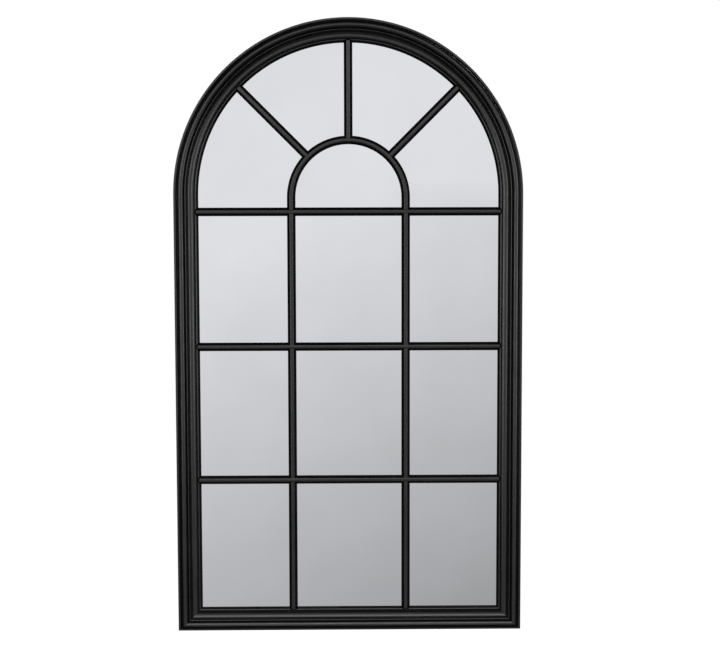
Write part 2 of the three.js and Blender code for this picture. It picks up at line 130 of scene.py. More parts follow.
def softened(corners: np.ndarray, closed: bool, bell: float, longest: float, turn: float) -> Section:
    """Rounds every corner of an outline a little, as paint and sandpaper do.

    The outline is walked at even steps of 0.1 mm, and each point becomes the average of its neighbours under a bell
    curve. It is then thinned: points are evenly spaced in the sum of (distance / longest) and (turning / turn), so
    they are close together on curves and far apart on flats. An open outline keeps its two ends. How sharply it
    turns at a point is the average over five steps.

    Args:
        corners: the outline, taken clockwise.
        closed: True where the last point joins the first.
        bell: width of the bell curve in mm.
        longest: greatest distance between points in mm.
        turn: greatest turning between points in degrees.

    Returns:
        The rounded and thinned outline.
    """
    step, window = 0.1, 5
    line = np.vstack([corners, corners[:1]]) if closed else corners
    along = distances(line)
    places = np.linspace(0.0, along[-1], int(along[-1] / step) + 1)
    walked = read_off(line, along, places)
    reach = int(4 * bell / step)
    if closed:
        walked = walked[:-1]
        padded = np.vstack([walked[-reach:], walked, walked[:reach]])
    else:
        padded = np.vstack(
            [2 * walked[0] - walked[reach:0:-1], walked, 2 * walked[-1] - walked[-2 : -reach - 2 : -1]]
        )
    weights = np.exp(-0.5 * (np.arange(-reach, reach + 1) * step / bell) ** 2)
    rounded = np.column_stack([np.convolve(column, weights / weights.sum(), "valid") for column in padded.T])
    if closed:
        rounded = np.vstack([rounded, rounded[:1]])
    heading = np.unwrap(np.arctan2(*np.diff(rounded, axis=0).T[::-1]))
    turning = np.concatenate([[0.0], -np.diff(heading), [0.0]])
    lengths = distances(rounded)
    cost = lengths / longest + np.concatenate([[0.0], np.cumsum(np.abs(turning[:-1]))]) / math.radians(turn)
    count = 2 * math.ceil(cost[-1] / 2)
    stops = np.linspace(0.0, cost[-1], count + 1)
    points = read_off(rounded, cost, stops)
    smooth = np.convolve(turning / step, np.ones(window) / window, "same")
    bend = np.interp(stops, cost, smooth)
    return Section(points[:-1], bend[:-1]) if closed else Section(points, bend)


@dataclass
class Shell:
    """A closed surface before it becomes a mesh.

    Attributes:
        points: every point, in mm in the shared frame.
        faces: the numbers of each face's points.
        run: for each corner of each face, mm along and mm round the piece.
        arris: for each point, how sharp an outer edge it lies on.
        joint: for each point, 1 where it lies on a glued end face.
        flats: how many of the last faces are flat end faces.
    """

    points: np.ndarray
    faces: list[list[int]]
    run: np.ndarray
    arris: np.ndarray
    joint: np.ndarray
    flats: int = 0

    def close(self, ring: np.ndarray, plan: np.ndarray) -> None:
        """Closes the shell with one flat face.

        Args:
            ring: the numbers of the points round the opening.
            plan: their places in the face, for the grain, in mm.
        """
        self.faces.append(ring.tolist())
        self.run = np.vstack([self.run, plan])
        self.flats += 1


def skinned(
    points: np.ndarray, along: np.ndarray, girth: np.ndarray, arris: np.ndarray, round_path: bool = False
) -> Shell:
    """Skins a grid whose second direction closes on itself.

    Face (i, j) joins points (i, j), (i+1, j), (i+1, j+1) and (i, j+1), where the last point of a section is
    followed by its first, and on a closed path the last section by the first.

    Args:
        points: the grid, (stations, count, 3).
        along: mm along the piece, (spans + 1, count).
        girth: mm round the section, (count + 1).
        arris: how sharp an outer edge each point of the section lies on, (count).
        round_path: True where the path itself is a loop.

    Returns:
        The shell, open at both ends unless the path is a loop.
    """
    stations, count = points.shape[:2]
    spans = stations if round_path else stations - 1
    i, j = np.arange(spans)[:, None], np.arange(count)[None, :]
    i_on, j_on = (i + 1) % stations, (j + 1) % count
    corners = np.stack([i * count + j, i_on * count + j, i_on * count + j_on, i * count + j_on], axis=-1)
    flat = np.zeros((spans, count))
    u = np.stack([along[i, j], along[i + 1, j], along[i + 1, j_on], along[i, j_on]], axis=-1)
    v = np.stack([girth[j] + flat, girth[j] + flat, girth[j + 1] + flat, girth[j + 1] + flat], axis=-1)
    return Shell(
        points=points.reshape(-1, 3),
        faces=corners.reshape(-1, 4).tolist(),
        run=np.stack([u, v], axis=-1).reshape(-1, 2),
        arris=np.tile(arris, stations),
        joint=np.zeros(stations * count),
    )


def turned(x: float, z: float, profile: np.ndarray, sides: int) -> np.ndarray:
    """Turns a profile round an axis along Y.

    Point (i, j) lies at x + r cos a, y, z + r sin a, where r and y are point i of the profile and a is j shares of
    a full turn.

    Args:
        x: place of the axis.
        z: place of the axis.
        profile: (radius, y) from one end to the other, (stations, 2).
        sides: points round the axis.

    Returns:
        The grid of points, (stations, sides, 3).
    """
    angle = np.linspace(0, 2 * np.pi, sides, endpoint=False)
    radius, level = profile[:, :1], profile[:, 1:]
    return np.stack([x + radius * np.cos(angle), level + 0 * angle, z + radius * np.sin(angle)], axis=-1)


def finished(
    name: str,
    shell: Shell,
    material: bpy.types.Material,
    node: str,
    body: str = "mirror",
) -> bpy.types.Object:
    """Makes the object for a shell, points its faces outwards, hides the CAD node it stands for and hangs it on its
    body.

    Args:
        name: the new piece's name.
        shell: its closed surface.
        material: its finish.
        node: the CAD node it stands for.
        body: the CAD body it rides on.

    Returns:
        The new object.
    """
    mesh = bpy.data.meshes.new(name)
    mesh.from_pydata((shell.points * MM).tolist(), [], shell.faces, shade_flat=False)
    mesh.uv_layers.new(name=RUN).data.foreach_set("uv", (shell.run * MM).ravel())
    mesh.attributes.new(ARRIS, "FLOAT", "POINT").data.foreach_set("value", shell.arris)
    mesh.attributes.new(JOINT, "FLOAT", "POINT").data.foreach_set("value", shell.joint)
    flat = np.arange(len(shell.faces)) >= len(shell.faces) - shell.flats
    mesh.attributes.new("sharp_face", "BOOLEAN", "FACE").data.foreach_set("value", flat)
    work = bmesh.new()
    work.from_mesh(mesh)
    bmesh.ops.recalc_face_normals(work, faces=work.faces)
    work.to_mesh(mesh)
    work.free()
    mesh.materials.append(material)
    made = bpy.data.objects.new(name, mesh)
    bpy.context.scene.collection.objects.link(made)
    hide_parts(node)
    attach(made, body)
    log.info("%s: %d faces, stands for %s", name, len(shell.faces), node)
    return made


# ---------------------------------------------------------------- finishes


def add(tree: bpy.types.NodeTree, kind: str, inputs: dict | None = None, **settings: object) -> bpy.types.Node:
    """Adds a node with its settings and links.

    Args:
        tree: the node tree.
        kind: the node's type, without ShaderNode in front.
        inputs: for each input, by name or number, an output to link or a value to set.
        **settings: the node's own settings.

    Returns:
        The new node.
    """
    node = tree.nodes.new(f"ShaderNode{kind}")
    for name, value in settings.items():
        setattr(node, name, value)
    for socket, value in (inputs or {}).items():
        if isinstance(value, bpy.types.NodeSocket):
            tree.links.new(value, node.inputs[socket])
        else:
            node.inputs[socket].default_value = value
    return node


def fresh(name: str) -> tuple[bpy.types.Material, bpy.types.NodeTree]:
    """An empty material and its tree."""
    material = bpy.data.materials.new(name)
    material.use_nodes = True
    material.node_tree.nodes.clear()
    return material, material.node_tree


@dataclass(frozen=True)
class SatinBlackPaint:
    """Water-based satin enamel brushed on moulded pine: near black, with a broken gloss.

    The eye gets soft grey highlights that wander a little along each member where the brush left the film uneven,
    faint streaks of the grain under it, a few rubbed or chipped spots on the outer arrises, and a dull hairline,
    broken in places, where the film has sunk into a glued joint. Lengths and heights are in millimetres.
    """

    film: str = "#060606"
    film_thin: str = "#0c0b0b"
    rubbed: str = "#1d1b19"
    bare: str = "#918e88"
    ior: float = 1.5
    roughness: tuple[float, float] = (0.27, 0.37)
    joint_roughness: float = 0.95
    grain_length: float = 38.0
    grain_width: float = 1.3  # pine's own rings are finer, but would not show
    grain_height: float = 0.03
    stroke_length: float = 30.0
    stroke_width: float = 5.0
    stroke_height: float = 0.14
    patch: float = 45.0
    chip: float = 2.6

    def made(self) -> bpy.types.Material:
        """Builds the material."""
        material, tree = fresh("satin_black_enamel_on_pine")
        run = add(tree, "UVMap", uv_map=RUN).outputs["UV"]
        place = add(tree, "TexCoord").outputs["Object"]
        arris = add(tree, "Attribute", attribute_name=ARRIS).outputs["Fac"]
        joint = add(tree, "Attribute", attribute_name=JOINT).outputs["Fac"]
        grain_place = add(
            tree, "Mapping", {"Vector": run, "Scale": (1 / (self.grain_length * MM), 1 / (self.grain_width * MM), 1)}
        )
        grain = add(tree, "TexNoise", {"Vector": grain_place.outputs[0], "Scale": 1.0, "Detail": 4.0, "Roughness": 0.6})
        stroke_place = add(
            tree, "Mapping", {"Vector": run, "Scale": (1 / (self.stroke_length * MM), 1 / (self.stroke_width * MM), 1)}
        )
        stroke = add(
            tree, "TexNoise", {"Vector": stroke_place.outputs[0], "Scale": 1.0, "Detail": 3.0, "Distortion": 0.4}
        )
        broad = add(tree, "TexNoise", {"Vector": place, "Scale": 1 / (self.patch * MM), "Detail": 2.0})
        chips = add(tree, "TexNoise", {"Vector": place, "Scale": 1 / (self.chip * MM), "Detail": 2.0})

        thin = add(tree, "MapRange", {"Value": grain.outputs["Fac"], "From Min": 0.5, "From Max": 0.8})
        film = add(
            tree, "Mix", {0: thin.outputs[0], 6: linear(self.film), 7: linear(self.film_thin)}, data_type="RGBA"
        )
        worn = add(tree, "MapRange", {"Value": broad.outputs["Fac"], "From Min": 0.4, "From Max": 0.75, "To Max": 0.7})
        rub = add(tree, "Math", {0: arris, 1: worn.outputs[0]}, operation="MULTIPLY")
        rubbed = add(tree, "Mix", {0: rub.outputs[0], 6: film.outputs[2], 7: linear(self.rubbed)}, data_type="RGBA")
        spots = add(tree, "MapRange", {"Value": chips.outputs["Fac"], "From Min": 0.74, "From Max": 0.78})
        edge = add(tree, "Math", {0: arris, 1: spots.outputs[0]}, operation="MULTIPLY")
        colour = add(tree, "Mix", {0: edge.outputs[0], 6: rubbed.outputs[2], 7: linear(self.bare)}, data_type="RGBA")

        mixed = add(tree, "Math", {0: stroke.outputs["Fac"], 1: broad.outputs["Fac"]}, operation="ADD")
        sleek, dull = self.roughness
        satin = add(
            tree,
            "MapRange",
            {"Value": mixed.outputs[0], "From Min": 0.75, "From Max": 1.25, "To Min": sleek, "To Max": dull},
        )
        broken = add(
            tree, "MapRange", {"Value": broad.outputs["Fac"], "From Min": 0.45, "From Max": 0.6, "To Min": 0.3}
        )
        hairline = add(tree, "Math", {0: joint, 1: broken.outputs[0]}, operation="MULTIPLY")
        rough = add(
            tree, "Mix", {0: hairline.outputs[0], 2: satin.outputs[0], 3: self.joint_roughness}, data_type="FLOAT"
        )
        waves = add(tree, "Bump", {"Height": stroke.outputs["Fac"], "Distance": self.stroke_height * MM})
        streaks = add(
            tree,
            "Bump",
            {"Height": grain.outputs["Fac"], "Distance": self.grain_height * MM, "Normal": waves.outputs[0]},
        )
        paint = add(
            tree,
            "BsdfPrincipled",
            {
                "Base Color": colour.outputs[2],
                "Roughness": rough.outputs[0],
                "IOR": self.ior,
                "Normal": streaks.outputs[0],
            },
        )
        add(tree, "OutputMaterial", {"Surface": paint.outputs[0]})
        return material


@dataclass(frozen=True)
class SilveredGlass:
    """Float glass silvered on its back: a cold, very slightly uneven mirror without any blur."""

    clear: str = "#f6f8fa"
    dull: str = "#f1f3f4"
    cloud: float = 160.0  # mm

    def made(self) -> bpy.types.Material:
        """Builds the material."""
        material, tree = fresh("silvered_float_glass")
        place = add(tree, "TexCoord").outputs["Object"]
        cloud = add(tree, "TexNoise", {"Vector": place, "Scale": 1 / (self.cloud * MM), "Detail": 3.0})
        share = add(tree, "MapRange", {"Value": cloud.outputs["Fac"], "From Min": 0.35, "From Max": 0.7})
        colour = add(tree, "Mix", {0: share.outputs[0], 6: linear(self.clear), 7: linear(self.dull)}, data_type="RGBA")
        mirror = add(tree, "BsdfPrincipled", {"Base Color": colour.outputs[2], "Metallic": 1.0, "Roughness": 0.0})
        add(tree, "OutputMaterial", {"Surface": mirror.outputs[0]})
        return material


@dataclass(frozen=True)
class Fibreboard:
    """Pressed brown fibreboard: matt, fine pale and dark fibres, a little cloudy across the sheet."""

    board: str = "#8d6b49"
    pale: str = "#b0926c"
    dark: str = "#5d432b"
    roughness: float = 0.86
    ior: float = 1.45
    fibre: float = 1.2  # mm
    fibre_height: float = 0.1  # mm
    cloud: float = 70.0  # mm

    def made(self) -> bpy.types.Material:
        """Builds the material."""
        material, tree = fresh("pressed_fibreboard")
        place = add(tree, "TexCoord").outputs["Object"]
        fibre = add(
            tree, "TexNoise", {"Vector": place, "Scale": 1 / (self.fibre * MM), "Detail": 5.0, "Distortion": 0.5}
        )
        cloud = add(tree, "TexNoise", {"Vector": place, "Scale": 1 / (self.cloud * MM), "Detail": 3.0})
        light = add(tree, "MapRange", {"Value": fibre.outputs["Fac"], "From Min": 0.5, "From Max": 0.68})
        deep = add(tree, "MapRange", {"Value": fibre.outputs["Fac"], "From Min": 0.46, "From Max": 0.3, "To Max": 0.7})
        patch = add(
            tree, "MapRange", {"Value": cloud.outputs["Fac"], "From Min": 0.35, "From Max": 0.7, "To Max": 0.35}
        )
        first = add(tree, "Mix", {0: light.outputs[0], 6: linear(self.board), 7: linear(self.pale)}, data_type="RGBA")
        second = add(tree, "Mix", {0: deep.outputs[0], 6: first.outputs[2], 7: linear(self.dark)}, data_type="RGBA")
        third = add(tree, "Mix", {0: patch.outputs[0], 6: second.outputs[2], 7: linear(self.dark)}, data_type="RGBA")
        bump = add(tree, "Bump", {"Height": fibre.outputs["Fac"], "Distance": self.fibre_height * MM})
        board = add(
            tree,
            "BsdfPrincipled",
            {
                "Base Color": third.outputs[2],
                "Roughness": self.roughness,
                "IOR": self.ior,
                "Normal": bump.outputs[0],
            },
        )
        add(tree, "OutputMaterial", {"Surface": board.outputs[0]})
        return material


@dataclass(frozen=True)
class ZincPlatedSteel:
    """Bright zinc plating on pressed steel: cool grey metal, clouded, with a faint straw tint in places."""

    zinc: str = "#c3c7cc"
    straw: str = "#c8bd9c"
    roughness: tuple[float, float] = (0.24, 0.42)
    cloud: float = 4.0  # mm
    grit: float = 0.35  # mm
    grit_height: float = 0.012  # mm

    def made(self) -> bpy.types.Material:
        """Builds the material."""
        material, tree = fresh("bright_zinc_plated_steel")
        place = add(tree, "TexCoord").outputs["Object"]
        cloud = add(tree, "TexNoise", {"Vector": place, "Scale": 1 / (self.cloud * MM), "Detail": 4.0})
        grit = add(tree, "TexNoise", {"Vector": place, "Scale": 1 / (self.grit * MM), "Detail": 2.0})
        share = add(
            tree, "MapRange", {"Value": cloud.outputs["Fac"], "From Min": 0.45, "From Max": 0.75, "To Max": 0.6}
        )
        colour = add(tree, "Mix", {0: share.outputs[0], 6: linear(self.zinc), 7: linear(self.straw)}, data_type="RGBA")
        sleek, dull = self.roughness
        rough = add(
            tree,
            "MapRange",
            {"Value": cloud.outputs["Fac"], "From Min": 0.3, "From Max": 0.7, "To Min": sleek, "To Max": dull},
        )
        bump = add(tree, "Bump", {"Height": grit.outputs["Fac"], "Distance": self.grit_height * MM})
        steel = add(
            tree,
            "BsdfPrincipled",
            {
                "Base Color": colour.outputs[2],
                "Metallic": 1.0,
                "Roughness": rough.outputs[0],
                "Normal": bump.outputs[0],
            },
        )
        add(tree, "OutputMaterial", {"Surface": steel.outputs[0]})
        return material


@dataclass(frozen=True)
class MouldedRubber:
    """Black rubber from a sparked mould: matt, finely pitted, greyer where dust lies in the pits."""

    rubber: str = "#161616"
    dust: str = "#2e2d2b"
    roughness: float = 0.78
    ior: float = 1.52
    pit: float = 0.5  # mm
    pit_depth: float = 0.04  # mm

    def made(self) -> bpy.types.Material:
        """Builds the material."""
        material, tree = fresh("moulded_black_rubber")
        place = add(tree, "TexCoord").outputs["Object"]
        pits = add(tree, "TexNoise", {"Vector": place, "Scale": 1 / (self.pit * MM), "Detail": 2.0})
        share = add(tree, "MapRange", {"Value": pits.outputs["Fac"], "From Min": 0.4, "From Max": 0.7})
        colour = add(tree, "Mix", {0: share.outputs[0], 6: linear(self.rubber), 7: linear(self.dust)}, data_type="RGBA")
        bump = add(tree, "Bump", {"Height": pits.outputs["Fac"], "Distance": self.pit_depth * MM})
        rubber = add(
            tree,
            "BsdfPrincipled",
            {
                "Base Color": colour.outputs[2],
                "Roughness": self.roughness,
                "IOR": self.ior,
                "Normal": bump.outputs[0],
            },
        )
        add(tree, "OutputMaterial", {"Surface": rubber.outputs[0]})
        return material


# ---------------------------------------------------------------- glazing bars


@dataclass
class BarPlace:
    """Where a straight glazing bar lies and how its ends are worked.

    Attributes:
        name: its CAD node.
        origin: x and z of the point its length is measured from.
        angle: the way it runs, in degrees above level.
        start: where it starts: a sight edge, or the centre line of the bar it lies over.
        stop: where it stops, in the same terms.
        first: how its first end is worked.
        last: how its last end is worked.
    """

    name: str
    origin: tuple[float, float]
    angle: float
    start: float
    stop: float
    first: End
    last: End

    def local(self, x: np.ndarray, z: np.ndarray) -> tuple[np.ndarray, np.ndarray]:
        """Distance along and across the bar of points in the plane of the mirror."""
        turn = math.radians(self.angle)
        dx, dz = x - self.origin[0], z - self.origin[1]
        return dx * math.cos(turn) + dz * math.sin(turn), -dx * math.sin(turn) + dz * math.cos(turn)

    def place(self, along: np.ndarray, across: np.ndarray) -> tuple[np.ndarray, np.ndarray]:
        """X and Z of points given along and across the bar."""
        turn = math.radians(self.angle)
        x = self.origin[0] + along * math.cos(turn) - across * math.sin(turn)
        z = self.origin[1] + along * math.sin(turn) + across * math.cos(turn)
        return x, z


@dataclass
class GlazingBars:
    """The black bars that stand on the front of the mirror: transoms, mullions, fan arch and fan bars.

    Attributes:
        width: width of a bar on the glass.
        height: height of a bar above the glass.
        edge: height of its upright sides.
        crown: width of its crown.
        crown_rise: how much higher the middle of the crown is than its shoulders.
        nose_radius: radius of the tip of a pointed end, seen from the front.
        nose_arris: radius of that end's upper edge.
        nose_fade: height above the glass below which that edge fades out.
        glass_level: how far the glass's face is in front of the frame's back.
        sight: half the clear width between the stiles.
        spring: level where the frame's arch springs.
        face: width of the frame's moulding.
        levels: levels of the three transoms.
        mullion_offset: distance of the mullions from the middle.
        fan_spring: level where the fan arch springs.
        scribe_spare: gap between a scribed end and the bar it lies over.
        columns: points across the foot of a bar.
        end_stations: distances from each end of the stations near it.
        middle_stations: stations between those of the two ends.
        leg_stations: shares of a leg of the fan arch at which its stations lie.
        arch_stations: stations round the half circle of the fan arch.
    """

    width: float = 18.2
    height: float = 8.0
    edge: float = 1.5
    crown: float = 7.0
    crown_rise: float = 0.25
    nose_radius: float = 10.0
    nose_arris: float = 0.7
    nose_fade: float = 3.0
    glass_level: float = 13.0
    sight: float = 321.0
    spring: float = 952.0
    face: float = 54.0
    levels: tuple[float, float, float] = (335.1, 625.3, 915.5)
    mullion_offset: float = 122.5
    fan_spring: float = 945.5
    scribe_spare: float = 0.2
    columns: int = 33
    end_stations: tuple[float, ...] = (0.0, 0.05, 0.15, 0.3, 0.5, 0.75, 1.1, 1.8, 3.0, 5.0, 8.0)
    middle_stations: int = 6
    leg_stations: tuple[float, ...] = (0.0, 0.04, 0.15, 0.4, 0.7)
    arch_stations: int = 73

    @property
    def nose_centre(self) -> float:
        """How far past the sight edge the centre of a nose's tip lies, where both shoulders touch the tip."""
        return self.width / 2 - self.nose_radius * math.sqrt(2)

    @property
    def crown_radius(self) -> float:
        """Radius of the shallow round of the crown."""
        return ((self.crown / 2) ** 2 + self.crown_rise**2) / (2 * self.crown_rise)

    def half_width(self, level: np.ndarray | float, spare: float = 0.0) -> np.ndarray:
        """Half the width of a bar's section at a level above the glass, plus something to spare.

        The sides stand upright up to the edge's height and then lean in evenly to the shoulders of the crown, where
        a bar that is scribed to this one ends.
        """
        shoulder = self.height - self.crown_rise
        return np.interp(level, [self.edge, shoulder], [self.width / 2, self.crown / 2]) + spare

    def section(self) -> Section:
        """The bar's upper outline, from its right foot over the crown to its left foot, v above the glass."""
        wide = self.width / 2
        sweep = math.degrees(math.asin(self.crown / 2 / self.crown_radius))
        crown = arc(0, self.height - self.crown_radius, self.crown_radius, 90 - sweep, 90 + sweep, 20)
        line = np.vstack([[wide, 0], [wide, self.edge], crown, [-wide, self.edge], [-wide, 0]])[::-1]
        found = softened(line, closed=False, bell=0.5, longest=0.7, turn=6)
        return Section(found.points[::-1], found.bend[::-1])

    def nose(self, across: np.ndarray) -> np.ndarray:
        """How far the pointed end reaches past the sight edge: half width less |a|, with a round tip.

        On the tip it is c + sqrt(r^2 - a^2), where c is the tip's centre and r its radius.
        """
        on_tip = self.nose_centre + np.sqrt(np.maximum(self.nose_radius**2 - across**2, 0.0))
        return np.where(np.abs(across) < self.nose_radius / math.sqrt(2), on_tip, self.width / 2 - np.abs(across))

    def outside_nose(self, beyond: np.ndarray, across: np.ndarray) -> np.ndarray:
        """Distance of points from the outline of a nose, positive outside it.

        The nose is a right-angled wedge whose corner is the tip's centre, grown by the tip's radius. A point ahead
        of the corner is as far from the wedge as from the corner, and any other as far as from the wedge's side.
        """
        ahead, side = beyond - self.nose_centre, np.abs(across)
        return np.where(ahead > side, np.hypot(ahead, side), (ahead + side) / math.sqrt(2)) - self.nose_radius

    def reach(self, bar: BarPlace, last: bool, across: np.ndarray, level: np.ndarray) -> np.ndarray:
        """Where each line of the bar ends, along it.

        Args:
            bar: the bar.
            last: True for its last end.
            across: place across the bar of each line.
            level: level above the glass of each line.

        Returns:
            The distance along the bar of each line's end.
        """
        way, kind, edge = (1, bar.last, bar.stop) if last else (-1, bar.first, bar.start)
        if kind is End.NOSE:
            return edge + way * self.nose(across)
        clear = self.half_width(level, self.scribe_spare)
        if kind is End.SCRIBED:
            return edge - way * clear
        return np.sqrt((edge + clear) ** 2 - across**2)

    def worn(self, bar: BarPlace, along: np.ndarray, across: np.ndarray, level: np.ndarray) -> np.ndarray:
        """Levels of the bar's points with the arris of each nose rounded off.

        Within a radius r of the nose's outline the top drops by r - sqrt(r^2 - (r - d)^2), where d is the distance
        inside it, and less near the glass, so that nothing goes below it.
        """
        depth = np.full_like(along, self.nose_arris)
        if bar.last is End.NOSE:
            depth = np.minimum(depth, -self.outside_nose(along - bar.stop, across))
        if bar.first is End.NOSE:
            depth = np.minimum(depth, -self.outside_nose(bar.start - along, across))
        short = self.nose_arris - np.clip(depth, 0.0, self.nose_arris)
        drop = self.nose_arris - np.sqrt(self.nose_arris**2 - short**2)
        return level - drop * np.clip(level / self.nose_fade, 0.0, 1.0)

    def ring(self) -> tuple[np.ndarray, np.ndarray, np.ndarray]:
        """The closed section: the foot in even columns from left to right, then the outline without its feet.

        Returns:
            Its points, (count, 2), mm round it, (count + 1), and how sharp an outer edge each lies on.
        """
        upper = self.section()
        foot = np.column_stack([np.linspace(-1, 1, self.columns) * self.width / 2, np.zeros(self.columns)])
        points = np.vstack([foot, upper.points[1:-1]])
        arris = np.concatenate([np.zeros(self.columns), upper.arris[1:-1]])
        return points, distances(np.vstack([points, points[:1]])), arris

    def end_grid(self, ring: np.ndarray) -> tuple[np.ndarray, list[list[int]]]:
        """The inner points and the faces of an end face whose rows lie at the levels of the outline's points.

        Row j runs from the left point of the outline to the right one at the same level. Inner point (j, k) lies
        k equal shares of the way across. The crown closes the last row with a fan.

        Args:
            ring: the closed section's points.

        Returns:
            Inner points, (rows x inner, 2), and the faces, whose numbers count the ring first.
        """
        count, columns = len(ring), self.columns
        rows = (count - columns - 1) // 2
        level = np.arange(1, rows + 1)
        right, left = columns + level - 1, count - level
        share = np.linspace(0, 1, columns)[None, 1:-1, None]
        inner = ring[left][:, None] * (1 - share) + ring[right][:, None] * share
        grid = np.empty((rows + 1, columns), int)
        grid[0] = np.arange(columns)
        grid[1:, 0], grid[1:, -1] = left, right
        grid[1:, 1:-1] = count + np.arange(rows * (columns - 2)).reshape(rows, -1)
        quads = np.stack([grid[:-1, :-1], grid[:-1, 1:], grid[1:, 1:], grid[1:, :-1]], axis=-1).reshape(-1, 4)
        crown = columns + rows
        fan = np.column_stack([grid[-1, :-1], grid[-1, 1:], np.full(columns - 1, crown)])
        return inner.reshape(-1, 2), quads.tolist() + fan.tolist()

    @staticmethod
    def ended(shell: Shell, first: int, points: np.ndarray, faces: list[list[int]], plan: np.ndarray) -> None:
        """Adds an end face to a bar.

        Args:
            shell: the bar's shell.
            first: the number of the first point of the ring at that end.
            points: the places of the inner points.
            faces: the end face's faces, whose numbers count the ring first.
            plan: place in the section of ring and inner points, for the grain.
        """
        base, count = len(shell.points), len(plan) - len(points)
        shell.points = np.vstack([shell.points, points])
        shell.arris = np.concatenate([shell.arris, np.zeros(len(points))])
        shell.joint = np.concatenate([shell.joint, np.zeros(len(points))])
        for face in faces:
            shell.faces.append([n + first if n < count else n - count + base for n in face])
        shell.run = np.vstack([shell.run, plan[np.concatenate([np.array(face) for face in faces])]])
        shell.flats += len(faces)

    def straight(self, bar: BarPlace) -> Shell:
        """A straight bar: the section carried from one worked end to the other.

        Line (a, h) of the section runs from its first reach to its last, and its stations lie at fixed distances
        from each end, close together at the end and far apart in between.
        """
        ring, girth, arris = self.ring()
        across, level = ring.T
        start, stop = self.reach(bar, False, across, level), self.reach(bar, True, across, level)
        offsets = np.array(self.end_stations)
        near, far = start + offsets[:, None], stop - offsets[::-1, None]
        share = np.linspace(0, 1, self.middle_stations + 2)[1:-1, None]
        along = np.vstack([near, near[-1] * (1 - share) + far[0] * share, far])
        x, z = bar.place(along, across)
        y = -self.glass_level - self.worn(bar, along, across + 0 * along, level + 0 * along)
        shell = skinned(np.stack([x, y, z], axis=-1), along, girth, arris)
        inner, faces = self.end_grid(ring)
        plan = np.vstack([ring, inner])
        a, h = inner.T
        for last, first_point in ((False, 0), (True, (len(along) - 1) * len(ring))):
            s = self.reach(bar, last, a, h)
            px, pz = bar.place(s, a)
            py = -self.glass_level - self.worn(bar, s, a, h)
            self.ended(shell, first_point, np.column_stack([px, py, pz]), faces, plan)
        return shell

    def arch(self) -> Shell:
        """The stilted fan arch: the section carried up one leg, round the half circle and down the other.

        Its legs start where they lie over the upper transom. On the half circle, line (a, h) runs at the radius
        of the arch plus a.
        """
        ring, girth, arris = self.ring()
        offset, level = ring.T
        foot = self.levels[2] + self.half_width(level, self.scribe_spare)
        share = np.array(self.leg_stations)[:, None]
        leg = foot * (1 - share) + self.fan_spring * share
        angle = np.radians(np.linspace(180, 0, self.arch_stations))[:, None]
        radius = self.mullion_offset + offset
        x = np.vstack([-radius + 0 * leg, radius * np.cos(angle), radius + 0 * leg])
        z = np.vstack([leg, self.fan_spring + radius * np.sin(angle), leg[::-1]])
        y = -self.glass_level - level + 0 * x
        along = np.vstack(
            [leg - self.fan_spring, self.mullion_offset * (np.pi - angle) + 0 * radius]
            + [self.mullion_offset * np.pi + self.fan_spring - leg[::-1]]
        )
        shell = skinned(np.stack([x, y, z], axis=-1), along, girth, arris)
        inner, faces = self.end_grid(ring)
        plan = np.vstack([ring, inner])
        a, h = inner.T
        foot_in = self.levels[2] + self.half_width(h, self.scribe_spare)
        for side, first_point in ((-1, 0), (1, (len(along) - 1) * len(ring))):
            points = np.column_stack([side * (self.mullion_offset + a), -self.glass_level - h, foot_in])
            self.ended(shell, first_point, points, faces, plan)
        return shell

    def crossing(self, angle: float) -> float:
        """Distance from the fan's centre to the sight edge of the arch, along a fan bar."""
        below, turn = self.spring - self.fan_spring, math.radians(angle)
        return below * math.sin(turn) + math.sqrt(self.sight**2 - (below * math.cos(turn)) ** 2)

    def bars(self) -> list[BarPlace]:
        """Every straight bar, by its CAD node."""
        found = []
        rows = ("lower", "middle", "upper")
        for row, level in zip(rows, self.levels):
            found.append(BarPlace(f"transom_{row}", (0, level), 0, -self.sight, self.sight, End.NOSE, End.NOSE))
        feet = (self.face, *self.levels[:2])
        for side in Side:
            for row, low, high in zip(rows, feet, self.levels):
                first = End.NOSE if row == "lower" else End.SCRIBED
                spot = (side.value * self.mullion_offset, 0)
                found.append(BarPlace(f"mullion_{side.word}_{row}", spot, 90, low, high, first, End.SCRIBED))
        centre, start = (0, self.fan_spring), self.mullion_offset
        for name, angle in (("right", 45), ("centre", 90), ("left", 135)):
            stop = self.crossing(angle)
            found.append(BarPlace(f"fan_bar_{name}", centre, angle, start, stop, End.SCRIBED_ROUND, End.NOSE))
        return found

    def build(self, paint: bpy.types.Material) -> None:
        """Builds every bar and dresses it."""
        for bar in self.bars():
            finished(f"painted_{bar.name}", self.straight(bar), paint, bar.name)
        finished("painted_fan_arch", self.arch(), paint, "fan_arch")


# ---------------------------------------------------------------- frame


# For each station the x and z of the outer edge and the way across, and for each point there the mm along the run.
Run = tuple[np.ndarray, np.ndarray, np.ndarray]


